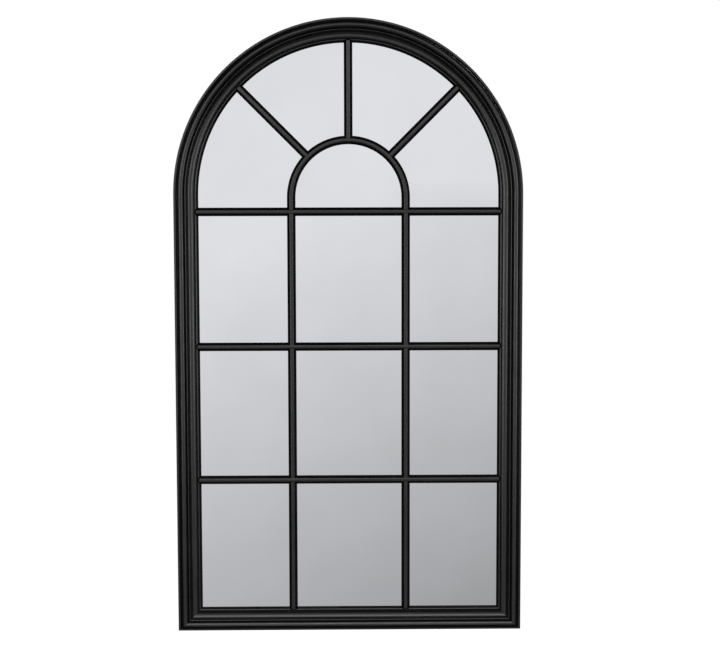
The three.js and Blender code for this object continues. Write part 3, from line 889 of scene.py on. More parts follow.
@dataclass
class MouldedFrame:
    """The moulded frame: rail, stiles and the three segments of the arch.

    Attributes:
        bars: the glazing bars, whose noses it takes.
        width: overall width.
        height: overall height.
        face: width of the moulding.
        haunch_angle: angle above level of the joints between the arch's segments.
        stub: how far a haunch runs on below the spring line.
        glue_gap: width of a glued joint.
        joint_line: width of the strip next to a joint in which the finish changes.
        first_square: distance from an inner corner to the first station that isn't mitred.
        straight_stops: reach round a nose, step there and step elsewhere, on rail and stiles.
        arch_stops: the same on the arch, in degrees.
        notch_clear: clearance round a nose in its seat.
        notch_slope: slope of the seat's wall.
        notch_back: how far before the sight edge a seat starts.
        notch_half: half the width of the strip in which a seat lies.
        lip_skin: how far the floor of a seat stands in front of the glass.
        proudest: the most that the moulding stands in front of its back.
        bead: half the width of the inner bead, and its height.
        hollow_sweep: angle that the hollow turns through, in degrees.
    """

    bars: GlazingBars
    width: float = 750.0
    height: float = 1327.0
    face: float = 54.0
    haunch_angle: float = 43.6
    stub: float = 8.0
    glue_gap: float = 0.03
    joint_line: float = 0.4
    first_square: float = 4.0
    straight_stops: tuple[float, float, float] = (13.0, 0.5, 60.0)
    arch_stops: tuple[float, float, float] = (2.4, 0.11, 0.9)
    notch_clear: float = 0.5
    notch_slope: float = 4.0
    notch_back: float = 1.0
    notch_half: float = 16.0
    lip_skin: float = 0.05
    proudest: float = 29.94
    bead: tuple[float, float] = (2.4, 2.1)
    hollow_sweep: float = 99.0

    @property
    def half(self) -> float:
        """Half the width, and the radius of the arch."""
        return self.width / 2

    @property
    def spring(self) -> float:
        """The level where the arch springs."""
        return self.height - self.half

    @property
    def middle(self) -> float:
        """Radius of the arch along the middle of the moulding."""
        return self.half - self.face / 2

    @property
    def gap(self) -> float:
        """Half the width of a glued joint."""
        return self.glue_gap / 2

    @property
    def mitre(self) -> float:
        """How far the outer end of a mitred piece stays from the corner."""
        return self.gap * math.sqrt(2)

    def outline(self) -> np.ndarray:
        """The moulding's corners: outer flat, cove, torus, fillet between quirks, hollow, groove, bead, rebates."""
        share = np.linspace(0, 1, 13)[:-1, None]
        low, pull, high = np.array([[4.4, 11.0], [8.24, 15.8], [9.2, 22.5]])
        cove = low * (1 - share) ** 2 + pull * 2 * share * (1 - share) + high * share**2
        outer, inner = np.array([30.195, 24.6]), np.array([44.7, 21.4])
        chord = inner - outer
        sweep = self.hollow_sweep / 2
        radius = np.hypot(*chord) / 2 / math.sin(math.radians(sweep))
        upright = np.array([-chord[1], chord[0]]) / np.hypot(*chord)
        centre = outer + chord / 2 + upright * radius * math.cos(math.radians(sweep))
        facing = math.degrees(math.atan2(*-upright[::-1]))
        if facing > 0:
            facing -= 360
        return np.vstack(
            [
                [[0, 0]],  # outer edge at the back
                arc(1.2, 9.8, 1.2, 180, 90, 6),  # eased arris of the outer flat
                cove,
                arc(16.7, 22.5, 7.5, 180, 30, 40),  # torus
                [[24.195, 22.4]],  # first quirk
                arc(26.695, 23.9, 1.5, 180, 0, 16),  # fillet, rounded over
                [[29.195, 22.4]],  # second quirk
                arc(*centre, radius, facing - sweep, facing + sweep, 24),  # hollow
                [[45.5, 18.0]],  # V groove
                arc(0, 0, 1, 180, 0, 16) * self.bead + [48.2, 17.4],
                [[54, 14], [54, 13], [46, 13], [46, 9], [36, 9], [36, 0]],  # lip, glass rebate, board rebate
            ]
        )

    def notched(self, points: np.ndarray) -> np.ndarray:
        """Cuts the seats of the bars' noses into the inner edge.

        Round each nose the surface is no higher than a thin skin over the glass plus its distance outside the
        nose, less the clearance, times the slope of the seat's wall.
        """
        x, y, z = np.moveaxis(points, -1, 0)
        level, floor = -y, self.bars.glass_level + self.lip_skin
        cut = level
        for bar in self.bars.bars():
            along, across = bar.local(x, z)
            for kind, beyond in ((bar.last, along - bar.stop), (bar.first, bar.start - along)):
                if kind is not End.NOSE:
                    continue
                outside = self.bars.outside_nose(beyond, across)
                near = (beyond > -self.notch_back) & (np.abs(across) < self.notch_half)
                roof = floor + self.notch_slope * np.maximum(outside - self.notch_clear, 0.0)
                cut = np.where(near, np.minimum(cut, roof), cut)
        kept = np.where(level > floor, cut, level)
        return np.stack([x, -kept, z], axis=-1)

    @staticmethod
    def stops(low: float, high: float, fine: list[float], reach: float, close: float, far: float) -> np.ndarray:
        """Places along a run, close together round each nose and far apart elsewhere.

        Args:
            low: where the run starts.
            high: where it ends.
            fine: the middles of the noses.
            reach: how far to each side of a nose the places stay close.
            close: distance between close places.
            far: distance between the others.

        Returns:
            The places in order, both ends included.
        """
        every = [np.linspace(low, high, max(2, round(abs(high - low) / far) + 1))]
        every += [middle + np.arange(-reach, reach + close / 2, close) for middle in fine]
        places = np.unique(np.round(np.concatenate(every), 6))
        inside = places[(places > low + close / 2) & (places < high - close / 2)]
        return np.concatenate([[low], inside, [high]])

    def rail(self, u: np.ndarray) -> Run:
        """The run of the bottom rail, mitred at both ends, for section points at u."""
        inner = self.half - self.face - self.first_square
        noses = [-self.bars.mullion_offset, self.bars.mullion_offset]
        places = self.stops(-inner, inner, noses, *self.straight_stops)
        end = self.half - self.mitre
        spots = np.concatenate([[-end, self.joint_line - end], places, [end - self.joint_line, end]])
        at = np.column_stack([spots, 0 * spots])
        across = np.column_stack([np.concatenate([[1, 1], 0 * places, [-1, -1]]), np.ones(len(spots))])
        return at, across, at[:, :1] + across[:, :1] * u

    def stile(self, side: Side, u: np.ndarray) -> Run:
        """The run of a stile, mitred at its foot and square at its top, for section points at u."""
        foot, joint = self.face + self.first_square, self.spring - self.stub - self.gap
        places = self.stops(foot, joint, list(self.bars.levels), *self.straight_stops)
        ends = [self.mitre, self.mitre + self.joint_line], [joint - self.joint_line, joint]
        heights = np.concatenate([ends[0], places[:-1], ends[1]])
        at = np.column_stack([np.full(len(heights), side.value * self.half), heights])
        lean = (heights < self.mitre + 2 * self.joint_line).astype(float)
        across = np.column_stack([np.full(len(heights), -side.value), lean])
        return at, across, at[:, 1:] + across[:, 1:] * u

    def segment(self, low: float, high: float, noses: list[float], u: np.ndarray) -> Run:
        """The run of a segment of the arch, for section points at u.

        A segment that starts or ends at the spring line runs straight on down to the joint with the stile.

        Args:
            low: the angle where it starts, in degrees.
            high: the angle where it ends.
            noses: the angles of the fan bars' noses.
            u: places across the moulding.

        Returns:
            Its run.
        """
        line = math.degrees(self.joint_line / self.middle)
        inside = self.stops(low, high, noses, *self.arch_stops)[1:-1]
        turn = np.radians(np.concatenate([[low, low + line], inside, [high - line, high]]))
        way = np.column_stack([np.cos(turn), np.sin(turn)])
        at, across, path = self.half * way + [0, self.spring], -way, turn * self.middle
        for spring, sign in ((0.0, 1), (180.0, -1)):
            if spring not in (low, high):
                continue
            drop = np.array([self.stub - self.gap, self.stub - self.gap - self.joint_line])[::sign]
            foot = np.column_stack([np.full(2, sign * self.half), self.spring - drop])
            inwards = np.tile([-sign, 0.0], (2, 1))
            pieces = [(foot, inwards, path[0] - drop), (at, across, path)]
            if sign < 0:
                pieces = [(at, across, path), (foot, inwards, path[-1] + drop)]
            at, across, path = (np.concatenate(part) for part in zip(*pieces))
        return at, across, path[:, None] + 0 * u

    def arch(self, u: np.ndarray) -> dict[str, Run]:
        """The runs of the arch's three segments by CAD node, for section points at u."""
        gap, haunch = math.degrees(self.gap / self.middle), self.haunch_angle
        noses = []
        for bar in self.bars.bars():
            if bar.name.startswith("fan"):
                x, z = bar.place(np.array(bar.stop), np.array(0.0))
                noses.append(math.degrees(math.atan2(z - self.spring, x)))
        return {
            "right_haunch": self.segment(0.0, haunch - gap, noses, u),
            "arch_crown": self.segment(haunch + gap, 180 - haunch - gap, noses, u),
            "left_haunch": self.segment(180 - haunch + gap, 180.0, noses, u),
        }

    def carried(self, section: Section, at: np.ndarray, across: np.ndarray, along: np.ndarray) -> Shell:
        """Carries the moulding through its stations.

        Point (i, j) lies at station i plus u of section point j times the way across there, v in front of the back.

        Args:
            section: the moulding.
            at: x and z of each station's outer edge, (stations, 2).
            across: the way across there, (stations, 2).
            along: mm along the run, (stations, count).

        Returns:
            The shell with a glued face at each end.
        """
        u, v = section.points.T
        x = at[:, :1] + across[:, :1] * u
        z = at[:, 1:] + across[:, 1:] * u
        points = self.notched(np.stack([x, -v + 0 * x, z], axis=-1))
        count = len(section.points)
        girth = distances(np.vstack([section.points, section.points[:1]]))
        shell = skinned(points, along, girth, section.arris)
        shell.joint[:count] = shell.joint[-count:] = 1.0
        last = (len(at) - 1) * count
        shell.close(np.arange(count), section.points)
        shell.close(last + np.arange(count), section.points)
        return shell

    def build(self, paint: bpy.types.Material) -> None:
        """Builds the six pieces and dresses them."""
        section = softened(self.outline(), closed=True, bell=0.32, longest=0.8, turn=10)
        section.points[:, 1] = section.points[:, 1].clip(0.0, self.proudest)
        u = section.points[:, 0]
        runs = {"bottom_rail": self.rail(u), **{f"{side.word}_stile": self.stile(side, u) for side in Side}}
        for name, run in {**runs, **self.arch(u)}.items():
            finished(f"painted_{name}", self.carried(section, *run), paint, name)


# ---------------------------------------------------------------- back fittings


@dataclass(frozen=True)
class ScrewSize:
    """The sizes of a pan-head wood screw.

    Attributes:
        head: radius of the head.
        rise: height of the head.
        shank: radius over the thread.
        length: length under the head.
    """

    head: float
    rise: float
    shank: float
    length: float


BOARD_SCREW = ScrewSize(3.0, 1.8, 1.5, 11.0)
HANGER_SCREW = ScrewSize(3.2, 2.0, 1.75, 12.0)
ScrewPlace = tuple[float, float, float, ScrewSize]  # x and z of the axis, y of the surface under the head, and size


@dataclass
class CrossHeadScrews:
    """Pan-head wood screws with a cross recess: fourteen in the backing board and two in each hanger.

    Attributes:
        sides: points round the axis.
        recess_depth: depth of the cross at its middle.
        recess_share: length of its arms as a share of the head's radius.
        arm_width: width of its arms.
        pitch: distance between two turns of the thread.
        thread_depth: depth of the thread as a share of its radius.
        edge_radius: radius of the head's outer edge.
        dome_fall: how much lower the dome is at its edge, as a share of its height.
        turn_step: how many degrees the cross of one screw stands on from that of the one before.
    """

    sides: int = 48
    recess_depth: float = 1.1
    recess_share: float = 0.62
    arm_width: float = 0.9
    pitch: float = 1.4
    thread_depth: float = 0.2
    edge_radius: float = 0.45
    dome_fall: float = 0.42
    turn_step: float = 37.0

    def shell(self, x: float, z: float, seat: float, size: ScrewSize, turn: float) -> Shell:
        """One screw, turned round its axis and then recessed and threaded.

        The head's top is a dome whose height falls with the fourth power of the distance from the axis. Within
        the arms of the cross it drops by the recess's depth, less towards the arms' ends. The thread lets the
        radius rise and fall once in each pitch, as a triangle that climbs with the angle.

        Args:
            x: place of the axis.
            z: place of the axis.
            seat: y of the surface under the head.
            size: its sizes.
            turn: angle the cross stands at, in degrees.

        Returns:
            The screw's shell.
        """
        head, rise, shank, length = size.head, size.rise, size.shank, size.length
        top = np.linspace(0.04, head * 0.93, 24)
        dome = rise * (1 - self.dome_fall * (top / head) ** 4)
        edge = arc(head - self.edge_radius, rise * 0.3, self.edge_radius, 60, -60, 6)
        edge[:, 1] = edge[:, 1].clip(0.12)
        under = np.array([[head - 0.35, 0.0], [shank * 1.05, 0.0]])
        down = np.arange(-0.2, -length + 2 * shank, -self.pitch / 6)
        core = np.column_stack([np.full(len(down), shank), down])
        point = np.array([[shank * 0.55, -length + shank], [0.05, -length]])
        profile = np.vstack([np.column_stack([top, dome]), edge, under, core, point])
        profile[:, 1] += seat
        grid = turned(x, z, profile, self.sides)
        angle = np.linspace(0, 2 * np.pi, self.sides, endpoint=False)
        radius = profile[:, :1] + 0 * angle
        level = profile[:, 1:] - seat + 0 * angle
        tooth = np.abs((level / self.pitch + angle / (2 * np.pi)) % 1 - 0.5) * 2
        threaded = (level < -0.5) & (level > -length + shank)
        radius = np.where(threaded, radius * (1 - self.thread_depth + self.thread_depth * tooth), radius)
        dx, dz = radius * np.cos(angle), radius * np.sin(angle)
        swing = math.radians(turn)
        one = np.abs(dx * math.cos(swing) + dz * math.sin(swing))
        other = np.abs(-dx * math.sin(swing) + dz * math.cos(swing))
        long, short = np.maximum(one, other), np.minimum(one, other)
        arm, side_blur, tip_blur = self.recess_share * head, 0.18, 0.3
        within_side = np.clip((self.arm_width / 2 - short) / side_blur + 0.5, 0, 1)
        within_tip = np.clip((arm - long) / tip_blur + 0.5, 0, 1)
        sunk = within_side * within_tip * self.recess_depth * (1 - 0.5 * long / arm) * (level > 0.3)
        grid = np.stack([x + dx, grid[..., 1] - sunk, z + dz], axis=-1)
        along = distances(profile)[:, None] + 0 * angle
        girth = np.linspace(0, 2 * np.pi * head, self.sides + 1)
        shell = skinned(grid, along, girth, np.zeros(self.sides))
        shell.close(np.arange(self.sides), grid[0][:, [0, 2]])
        shell.close((len(profile) - 1) * self.sides + np.arange(self.sides), grid[-1][:, [0, 2]])
        return shell

    def build(self, steel: bpy.types.Material, places: dict[str, ScrewPlace]) -> None:
        """Builds every screw, each driven home to its own angle.

        Args:
            steel: the finish.
            places: the place and size of the screw for each CAD node.
        """
        for number, (node, place) in enumerate(places.items()):
            turn = (number * self.turn_step) % 90
            finished(f"cross_head_{node}", self.shell(*place, turn), steel, node)


@dataclass
class StrapHangers:
    """Strap hangers with D-rings, and the rubber bumpers below them.

    Attributes:
        strap_x: distance of straps and bumpers from the middle.
        height: level of the rings' axis.
        strap_width: width of a strap.
        thickness: its thickness.
        length: how far it reaches below the rings' axis.
        barrel: outer radius of its eye.
        roll_end: angle at which the rolled eye ends, in degrees.
        wire: radius of a ring's wire.
        leg: length of a ring's legs.
        bend: radius of the bends between its bar and its legs.
        half_ring: half its width, between the middles of the wire.
        drops: how far the screws lie below the rings' axis.
        bumper_height: level of the bumpers.
        bumper_foot: radius of a bumper on the frame.
        bumper_face: radius of its face.
        bumper_rise: how far it stands out.
        bumper_dome: how far its face falls towards its edge.
        bumper_sides: points round it.
    """

    strap_x: float = 357.0
    height: float = 900.0
    strap_width: float = 14.0
    thickness: float = 1.2
    length: float = 46.0
    barrel: float = 2.75
    roll_end: float = -118.0
    wire: float = 1.25
    leg: float = 8.0
    bend: float = 1.9
    half_ring: float = 8.75
    drops: tuple[float, float] = (27.0, 39.0)
    bumper_height: float = 60.0
    bumper_foot: float = 7.0
    bumper_face: float = 6.0
    bumper_rise: float = 6.0
    bumper_dome: float = 0.18
    bumper_sides: int = 64

    def strap(self, x: float) -> Shell:
        """A strip of sheet steel, flat on the frame and rolled at its top into an eye.

        Its middle line climbs at half its thickness from the frame, then turns round the ring's axis at the
        barrel's radius less half the thickness. The strip's half width near the foot is that of a half circle, and
        its thickness is drawn as a rounded oblong. Point (i, j) is middle line i plus the oblong's point j.
        """
        half, thin = self.strap_width / 2, self.thickness / 2
        foot = half * (1 - np.cos(np.linspace(0.02, np.pi / 2, 16)))
        flat = np.concatenate([foot, np.linspace(half, self.length, 10)[1:]]) - self.length
        roll = np.radians(np.linspace(180, self.roll_end, 44)[1:])
        bent = self.barrel - thin
        level = np.concatenate([flat, bent * np.sin(roll)])
        out = np.concatenate([np.full(len(flat), thin), self.barrel + bent * np.cos(roll)])
        norm_y = np.concatenate([np.full(len(flat), -1.0), np.cos(roll)])
        norm_z = np.concatenate([np.zeros(len(flat)), np.sin(roll)])
        below = np.minimum(level + self.length, half)
        wide = np.where(level < -self.length + half, np.sqrt(np.maximum(half**2 - (half - below) ** 2, 0.01)), half)
        wide = np.where(np.arange(len(level)) >= len(flat), half, wide)
        oblong = np.array([[-half, -thin], [-half, thin], [half, thin], [half, -thin]])
        corner = softened(oblong, closed=True, bell=0.16, longest=0.8, turn=12)
        across, normal = corner.points.T
        edge = np.sign(across) * np.maximum(np.abs(across) - (half - wide[:, None]), np.abs(across) * 0.02)
        grid = np.stack(
            [
                x + edge,
                out[:, None] + norm_y[:, None] * normal,
                self.height + level[:, None] + norm_z[:, None] * normal,
            ],
            axis=-1,
        )
        middle = np.column_stack([out, level])
        girth = distances(np.vstack([corner.points, corner.points[:1]]))
        shell = skinned(grid, distances(middle)[:, None] + 0 * across, girth, corner.arris)
        count = len(across)
        shell.close(np.arange(count), corner.points)
        shell.close((len(level) - 1) * count + np.arange(count), corner.points)
        return shell

    def ring(self, x: float) -> Shell:
        """The D-ring: round wire along a straight bar, two legs and a half-round bow.

        Point (i, j) lies a wire's radius from path point i, at angle j in the plane of the path's outward way and
        the way to the front.
        """
        tight, wide = self.half_ring - self.bend, self.half_ring
        path = np.vstack(
            [
                arc(tight, -self.bend, self.bend, 90, 0, 10),
                arc(0, -self.leg, wide, 0, -180, 60),
                arc(-tight, -self.bend, self.bend, 180, 90, 10),
                np.column_stack([np.linspace(-tight, tight, 12)[1:-1], np.zeros(10)]),
            ]
        )
        way = np.vstack(
            [
                arc(0, 0, 1, 90, 0, 10),
                arc(0, 0, 1, 0, -180, 60),
                arc(0, 0, 1, 180, 90, 10),
                np.tile([0.0, 1.0], (10, 1)),
            ]
        )
        angle = np.linspace(0, 2 * np.pi, 24, endpoint=False)
        radius = self.wire * np.cos(angle)
        grid = np.stack(
            [
                x + path[:, :1] + way[:, :1] * radius,
                self.barrel - self.wire * np.sin(angle) + 0 * path[:, :1],
                self.height + path[:, 1:] + way[:, 1:] * radius,
            ],
            axis=-1,
        )
        along = distances(np.vstack([path, path[:1]]))[:, None] + 0 * angle
        girth = np.linspace(0, 2 * np.pi * self.wire, 25)
        return skinned(grid, along, girth, np.zeros(24), round_path=True)

    def bumper(self, x: float) -> Shell:
        """A rubber bumper: a tapered disc with soft edges and a face that is very slightly domed."""
        centre, face, rise, sides = 0.02, self.bumper_face, self.bumper_rise, self.bumper_sides
        corners = np.array([[centre, 0.0], [self.bumper_foot, 0.0], [face, rise], [centre, rise]])
        profile = softened(corners, closed=False, bell=0.35, longest=0.7, turn=9).points
        profile[:, 1] -= self.bumper_dome * (profile[:, 0] / face) ** 2 * (profile[:, 1] > rise - 1)
        grid = turned(x, self.bumper_height, profile, sides)
        along = distances(profile)[:, None] + np.zeros(sides)
        girth = np.linspace(0, 2 * np.pi * self.bumper_foot, sides + 1)
        shell = skinned(grid, along, girth, np.zeros(sides))
        shell.close(np.arange(sides), grid[0][:, [0, 2]])
        shell.close((len(profile) - 1) * sides + np.arange(sides), grid[-1][:, [0, 2]])
        return shell

    def screws(self) -> dict[str, ScrewPlace]:
        """Places and size of the hangers' screws by CAD node."""
        found = {}
        for side in Side:
            for number, drop in enumerate(self.drops, 1):
                place = (side.value * self.strap_x, self.height - drop, self.thickness, HANGER_SCREW)
                found[f"{side.word}_hanger_screw_{number}"] = place
        return found

    def build(self, steel: bpy.types.Material, rubber: bpy.types.Material) -> None:
        """Builds straps, rings and bumpers."""
        for side in Side:
            x, word = side.value * self.strap_x, side.word
            strap, ring, bumper = f"{word}_hanger_strap", f"{word}_hanger_ring", f"{word}_wall_bumper"
            finished(f"rolled_{strap}", self.strap(x), steel, strap)
            finished(f"bent_{ring}", self.ring(x), steel, ring, f"{word}_ring")
            finished(f"moulded_{bumper}", self.bumper(x), rubber, bumper)


@dataclass
class Glazing:
    """The mirror and the board behind it, whose CAD shapes are right and only get their finishes.

    Attributes:
        width: overall width of the frame.
        height: overall height of the frame.
        inset: distance of the board's screws from the frame's outer edge.
        seat: y of the board's back, under the screws' heads.
    """

    width: float = 750.0
    height: float = 1327.0
    inset: float = 41.0
    seat: float = -4.0

    def screws(self) -> dict[str, ScrewPlace]:
        """Places and size of the board's screws by CAD node: three in the rail and each stile, five in the arch."""
        half, spring = self.width / 2 - self.inset, self.height - self.width / 2
        spots = [((i + 0.5) * self.width / 3 - self.width / 2, self.inset) for i in range(3)]
        spots += [(side.value * half, (i + 0.5) * spring / 3) for i in range(3) for side in Side]
        spots += [(half * math.cos(a), spring + half * math.sin(a)) for a in np.radians([18, 54, 90, 126, 162])]
        return {f"board_screw_{n:02d}": (x, z, self.seat, BOARD_SCREW) for n, (x, z) in enumerate(spots, 1)}

    def build(self, glass: bpy.types.Material, board: bpy.types.Material) -> None:
        """Dresses the mirror and the board."""
        for node, material in (("mirror_glass", glass), ("backing_board", board)):
            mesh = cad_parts[node].data
            mesh.materials.clear()
            mesh.materials.append(material)
            log.info("%s keeps its CAD shape and is dressed as %s", node, material.name)


# ---------------------------------------------------------------- studio


@dataclass(frozen=True)
class SoftLamp:
    """A rectangular soft light.

    Attributes:
        name: its name.
        spot: where it hangs, in metres.
        aim: where it points, in metres.
        size: its width and height in metres.
        radiance: how bright its face is, where 1 is a white that is fully lit.
        spread: the angle that the grid on its face leaves open, in degrees.
    """

    name: str
    spot: tuple[float, float, float]
    aim: tuple[float, float, float]
    size: tuple[float, float]
    radiance: float
    spread: float = 180.0

    def build(self, shielded: bpy.types.Collection) -> None:
        """Hangs the lamp, unseen by the camera and by what is shielded from it.

        A lamp's power is its radiance times its area times pi.
        """
        data = bpy.data.lights.new(self.name, "AREA")
        data.shape = "RECTANGLE"
        data.size, data.size_y = self.size
        data.energy = self.radiance * self.size[0] * self.size[1] * math.pi
        data.spread = math.radians(self.spread)
        lamp = bpy.data.objects.new(self.name, data)
        bpy.context.scene.collection.objects.link(lamp)
        lamp.location = self.spot
        lamp.rotation_mode = "QUATERNION"
        lamp.rotation_quaternion = (Vector(self.aim) - Vector(self.spot)).to_track_quat("-Z", "Y")
        lamp.visible_camera = False
        lamp.light_linking.receiver_collection = shielded


def turn_about(axis: int, angle: float) -> np.ndarray:
    """The matrix that turns by an angle in radians about X, Y or Z, which are axes 0, 1 and 2."""
    one, other = (axis + 1) % 3, (axis + 2) % 3
    matrix = np.eye(3)
    matrix[one, one] = matrix[other, other] = math.cos(angle)
    matrix[one, other], matrix[other, one] = -math.sin(angle), math.sin(angle)
    return matrix


@dataclass
class Studio:
    """A white sweep, six soft lamps in front, one behind, and the camera of the photograph.

    The sill lamp hangs close to the bottom rail with a grid on its face, so it lights the rail and little else.

    Attributes:
        lens: focal length in mm, on a sensor 36 mm wide.
        eye: where the camera stands, in metres.
        yaw: its turn about up, in radians, left positive.
        pitch: its tilt, up positive.
        roll: its turn about the way it looks, right side down positive.
        floor_level: level of the floor, in metres.
        floor_reach: half the width of the floor.
        lamps: the lamps.
    """

    lens: float = 74.4
    eye: tuple[float, float, float] = (-0.0165, -3.209, 0.9462)
    yaw: float = -0.0127
    pitch: float = -0.085
    roll: float = 0.0023
    floor_level: float = -1.0
    floor_reach: float = 14.0
    lamps: tuple[SoftLamp, ...] = (
        SoftLamp("left_lamp", (-1.6, -2.2, 0.96), (0, 0, 0.9), (1.1, 1.75), 3.1),
        SoftLamp("right_lamp", (2.3, -2.0, 0.92), (0, 0, 0.9), (1.3, 1.85), 3.5),
        SoftLamp("front_lamp", (0.0, -2.3, 1.5), (0, 0, 0.9), (2.0, 0.5), 1.5),
        SoftLamp("top_lamp", (0.1, -1.7, 2.5), (0, 0, 1.0), (2.2, 0.9), 0.9),
        SoftLamp("sill_lamp", (0.0, -0.9, 0.6), (0, 0, 0), (1.3, 0.9), 0.42, 60.0),
        SoftLamp("low_lamp", (-0.1, -1.6, -0.85), (0, 0, 0.4), (2.4, 0.9), 0.5),
        SoftLamp("rear_lamp", (0.5, 2.6, 1.9), (0, 0, 0.7), (2.6, 1.6), 2.6),
    )

    def world(self) -> None:
        """Builds the surroundings.

        The camera and clear materials see white. In front of the object stands a card. A perfectly sharp reflection,
        as in the mirror, shows it with an even gradient, palest high up and to the left, and a rougher one, as in the
        paint, shows a soft band at eye level instead. The same band shows on a second card behind the object. After
        a second bounce the surroundings are dark, which keeps the flanks of the bars as black in the mirror as they
        are in the photograph. Scattered light comes evenly from all round.
        """
        dark, palest, deepest = 0.01, 0.8, 0.06
        cold, scattered, white = (0.992, 0.98, 1.005), (0.34, 0.34, 0.34, 1), (1, 1, 1, 1)
        smooth = {"interpolation_type": "SMOOTHSTEP"}
        world = bpy.data.worlds.new("white_sweep")
        bpy.context.scene.world = world
        world.use_nodes = True
        world.cycles.sampling_method = "NONE"
        tree = world.node_tree
        tree.nodes.clear()
        ray = add(tree, "LightPath").outputs
        way = add(tree, "SeparateXYZ", {0: add(tree, "TexCoord").outputs["Generated"]}).outputs

        # the even gradient: it rises with Z and towards the left, and holds from eye level up
        rise = add(tree, "Math", {0: way[2], 1: 1.4, 2: 0.805}, operation="MULTIPLY_ADD")
        lean = add(tree, "Math", {0: way[0], 1: -0.68, 2: rise.outputs[0]}, operation="MULTIPLY_ADD")
        level = add(tree, "MapRange", {"Value": way[2], "From Min": -0.188, "From Max": 0.012, "To Max": palest})
        wall = add(tree, "Math", {0: lean.outputs[0], 1: level.outputs[0]}, operation="MAXIMUM")
        wall = add(tree, "Math", {0: wall.outputs[0], 1: palest}, operation="MINIMUM")
        wall = add(tree, "Math", {0: wall.outputs[0], 1: deepest}, operation="MAXIMUM")

        # the soft band, and how far each card reaches round to the sides
        below = add(tree, "MapRange", {"Value": way[2], "From Min": -0.42, "From Max": -0.03}, **smooth)
        above = add(tree, "MapRange", {"Value": way[2], "From Min": 0.34, "From Max": 0.08}, **smooth)
        band = add(tree, "Math", {0: below.outputs[0], 1: above.outputs[0]}, operation="MULTIPLY")
        ahead = add(tree, "MapRange", {"Value": way[1], "From Min": -0.35, "From Max": -0.8}, **smooth)
        behind = add(tree, "MapRange", {"Value": way[1], "From Min": 0.75, "From Max": 0.98, "To Max": 0.75}, **smooth)

        # what a reflection sees
        sharp = ray["Is Singular Ray"]
        card = add(tree, "MapRange", {"Value": sharp, "To Min": band.outputs[0], "To Max": wall.outputs[0]})
        front = add(tree, "Math", {0: card.outputs[0], 1: ahead.outputs[0]}, operation="MULTIPLY")
        back = add(tree, "Math", {0: band.outputs[0], 1: behind.outputs[0]}, operation="MULTIPLY")
        both = add(tree, "Math", {0: front.outputs[0], 1: back.outputs[0]}, operation="ADD")
        seen = add(tree, "Math", {0: both.outputs[0], 1: dark}, operation="ADD")
        early = add(tree, "Math", {0: ray["Ray Depth"], 1: 2.5}, operation="LESS_THAN")
        shown = add(tree, "MapRange", {"Value": early.outputs[0], "To Min": dark, "To Max": seen.outputs[0]})
        tint = add(tree, "VectorMath", {0: cold, "Scale": shown.outputs[0]}, operation="SCALE")

        # scattered light, and white for the camera and what it sees through clear materials
        plain = add(tree, "Mix", {0: ray["Is Glossy Ray"], 6: scattered, 7: tint.outputs[0]}, data_type="RGBA")
        clear = add(tree, "Math", {0: ray["Is Camera Ray"], 1: ray["Is Transmission Ray"]}, operation="MAXIMUM")
        colour = add(tree, "Mix", {0: clear.outputs[0], 6: plain.outputs[2], 7: white}, data_type="RGBA")
        light = add(tree, "Background", {"Color": colour.outputs[2], "Strength": 1.0})
        add(tree, "OutputWorld", {"Surface": light.outputs[0]})

    def floor(self) -> None:
        """Lays a pale floor a metre below the hanging mirror, white to the camera but for the object's shadow."""
        mesh = bpy.data.meshes.new("pale_floor")
        corners = [(x * self.floor_reach, y * self.floor_reach) for x, y in ((-1, -1), (1, -1), (1, 1), (-1, 1))]
        mesh.from_pydata([(x, y, self.floor_level) for x, y in corners], [], [(0, 1, 2, 3)])
        ground = bpy.data.objects.new("pale_floor", mesh)
        bpy.context.scene.collection.objects.link(ground)
        ground.visible_glossy = False
        material, tree = fresh("pale_studio_floor")
        ray = add(tree, "LightPath").outputs
        matt = add(tree, "BsdfDiffuse", {"Color": (0.82, 0.82, 0.82, 1)})
        glow = add(tree, "Math", {0: ray["Is Camera Ray"], 1: 0.72}, operation="MULTIPLY")
        shine = add(tree, "Emission", {"Color": (1, 1, 1, 1), "Strength": glow.outputs[0]})
        both = add(tree, "AddShader", {0: matt.outputs[0], 1: shine.outputs[0]})
        add(tree, "OutputMaterial", {"Surface": both.outputs[0]})
        mesh.materials.append(material)

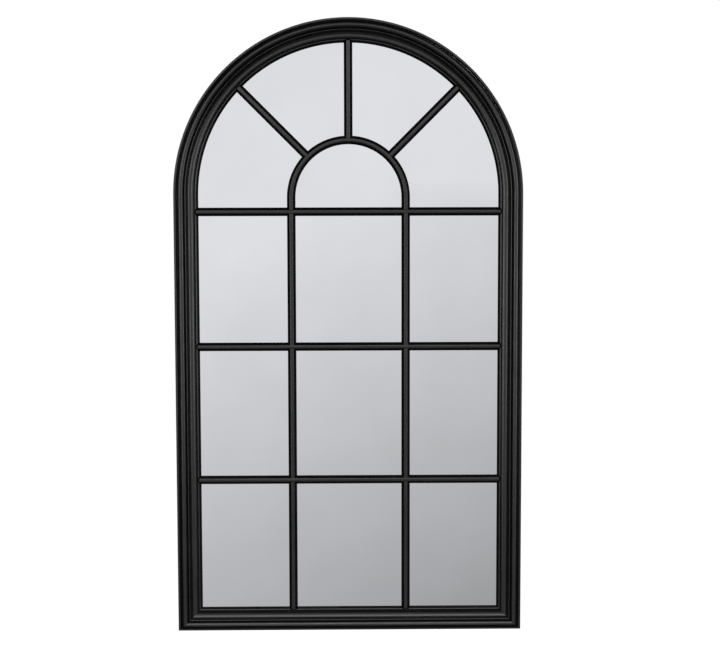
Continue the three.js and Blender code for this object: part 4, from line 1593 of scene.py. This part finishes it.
    def camera(self) -> None:
        """Sets up the photograph's camera: square on, a little left of the middle and tilted down.

        Its axes are the world's right, forward and up, rolled about forward, then pitched about right, then yawed
        about up.
        """
        data = bpy.data.cameras.new("photograph")
        data.lens, data.sensor_width = self.lens, 36.0
        data.clip_start, data.clip_end = 0.05, 60.0
        data.dof.use_dof = False
        turn = turn_about(2, self.yaw) @ turn_about(0, self.pitch) @ turn_about(1, self.roll)
        place = np.eye(4)
        place[:3, 0], place[:3, 1], place[:3, 2] = turn[:, 0], turn[:, 2], -turn[:, 1]
        place[:3, 3] = self.eye
        camera = bpy.data.objects.new("photograph", data)
        bpy.context.scene.collection.objects.link(camera)
        camera.matrix_world = Matrix(place.tolist())
        bpy.context.scene.camera = camera

    def build(self) -> None:
        """Builds world, floor, lamps and camera. The lamps leave the mirror alone, so none shows in it."""
        self.world()
        self.floor()
        self.camera()
        shielded = bpy.data.collections.new("not_lit_by_lamps")
        shielded.objects.link(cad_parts["mirror_glass"])
        shielded.collection_objects[0].light_linking.link_state = "EXCLUDE"
        for lamp in self.lamps:
            lamp.build(shielded)


@dataclass
class ArchedWindowMirror:
    """The whole mirror: its sub-assemblies and their finishes."""

    bars: GlazingBars = field(default_factory=GlazingBars)
    glazing: Glazing = field(default_factory=Glazing)
    hangers: StrapHangers = field(default_factory=StrapHangers)
    screws: CrossHeadScrews = field(default_factory=CrossHeadScrews)

    def build(self) -> None:
        """Builds every sub-assembly in order."""
        paint, steel, rubber = SatinBlackPaint().made(), ZincPlatedSteel().made(), MouldedRubber().made()
        MouldedFrame(self.bars).build(paint)
        self.bars.build(paint)
        self.glazing.build(SilveredGlass().made(), Fibreboard().made())
        self.hangers.build(steel, rubber)
        self.screws.build(steel, {**self.glazing.screws(), **self.hangers.screws()})


def main() -> None:
    """Builds the studio and the mirror."""
    logging.basicConfig(level=logging.INFO, format="%(name)s: %(message)s")
    scene = bpy.context.scene
    scene.view_settings.view_transform = "Standard"
    Studio().build()
    ArchedWindowMirror().build()


if __name__ == "__main__":
    main()
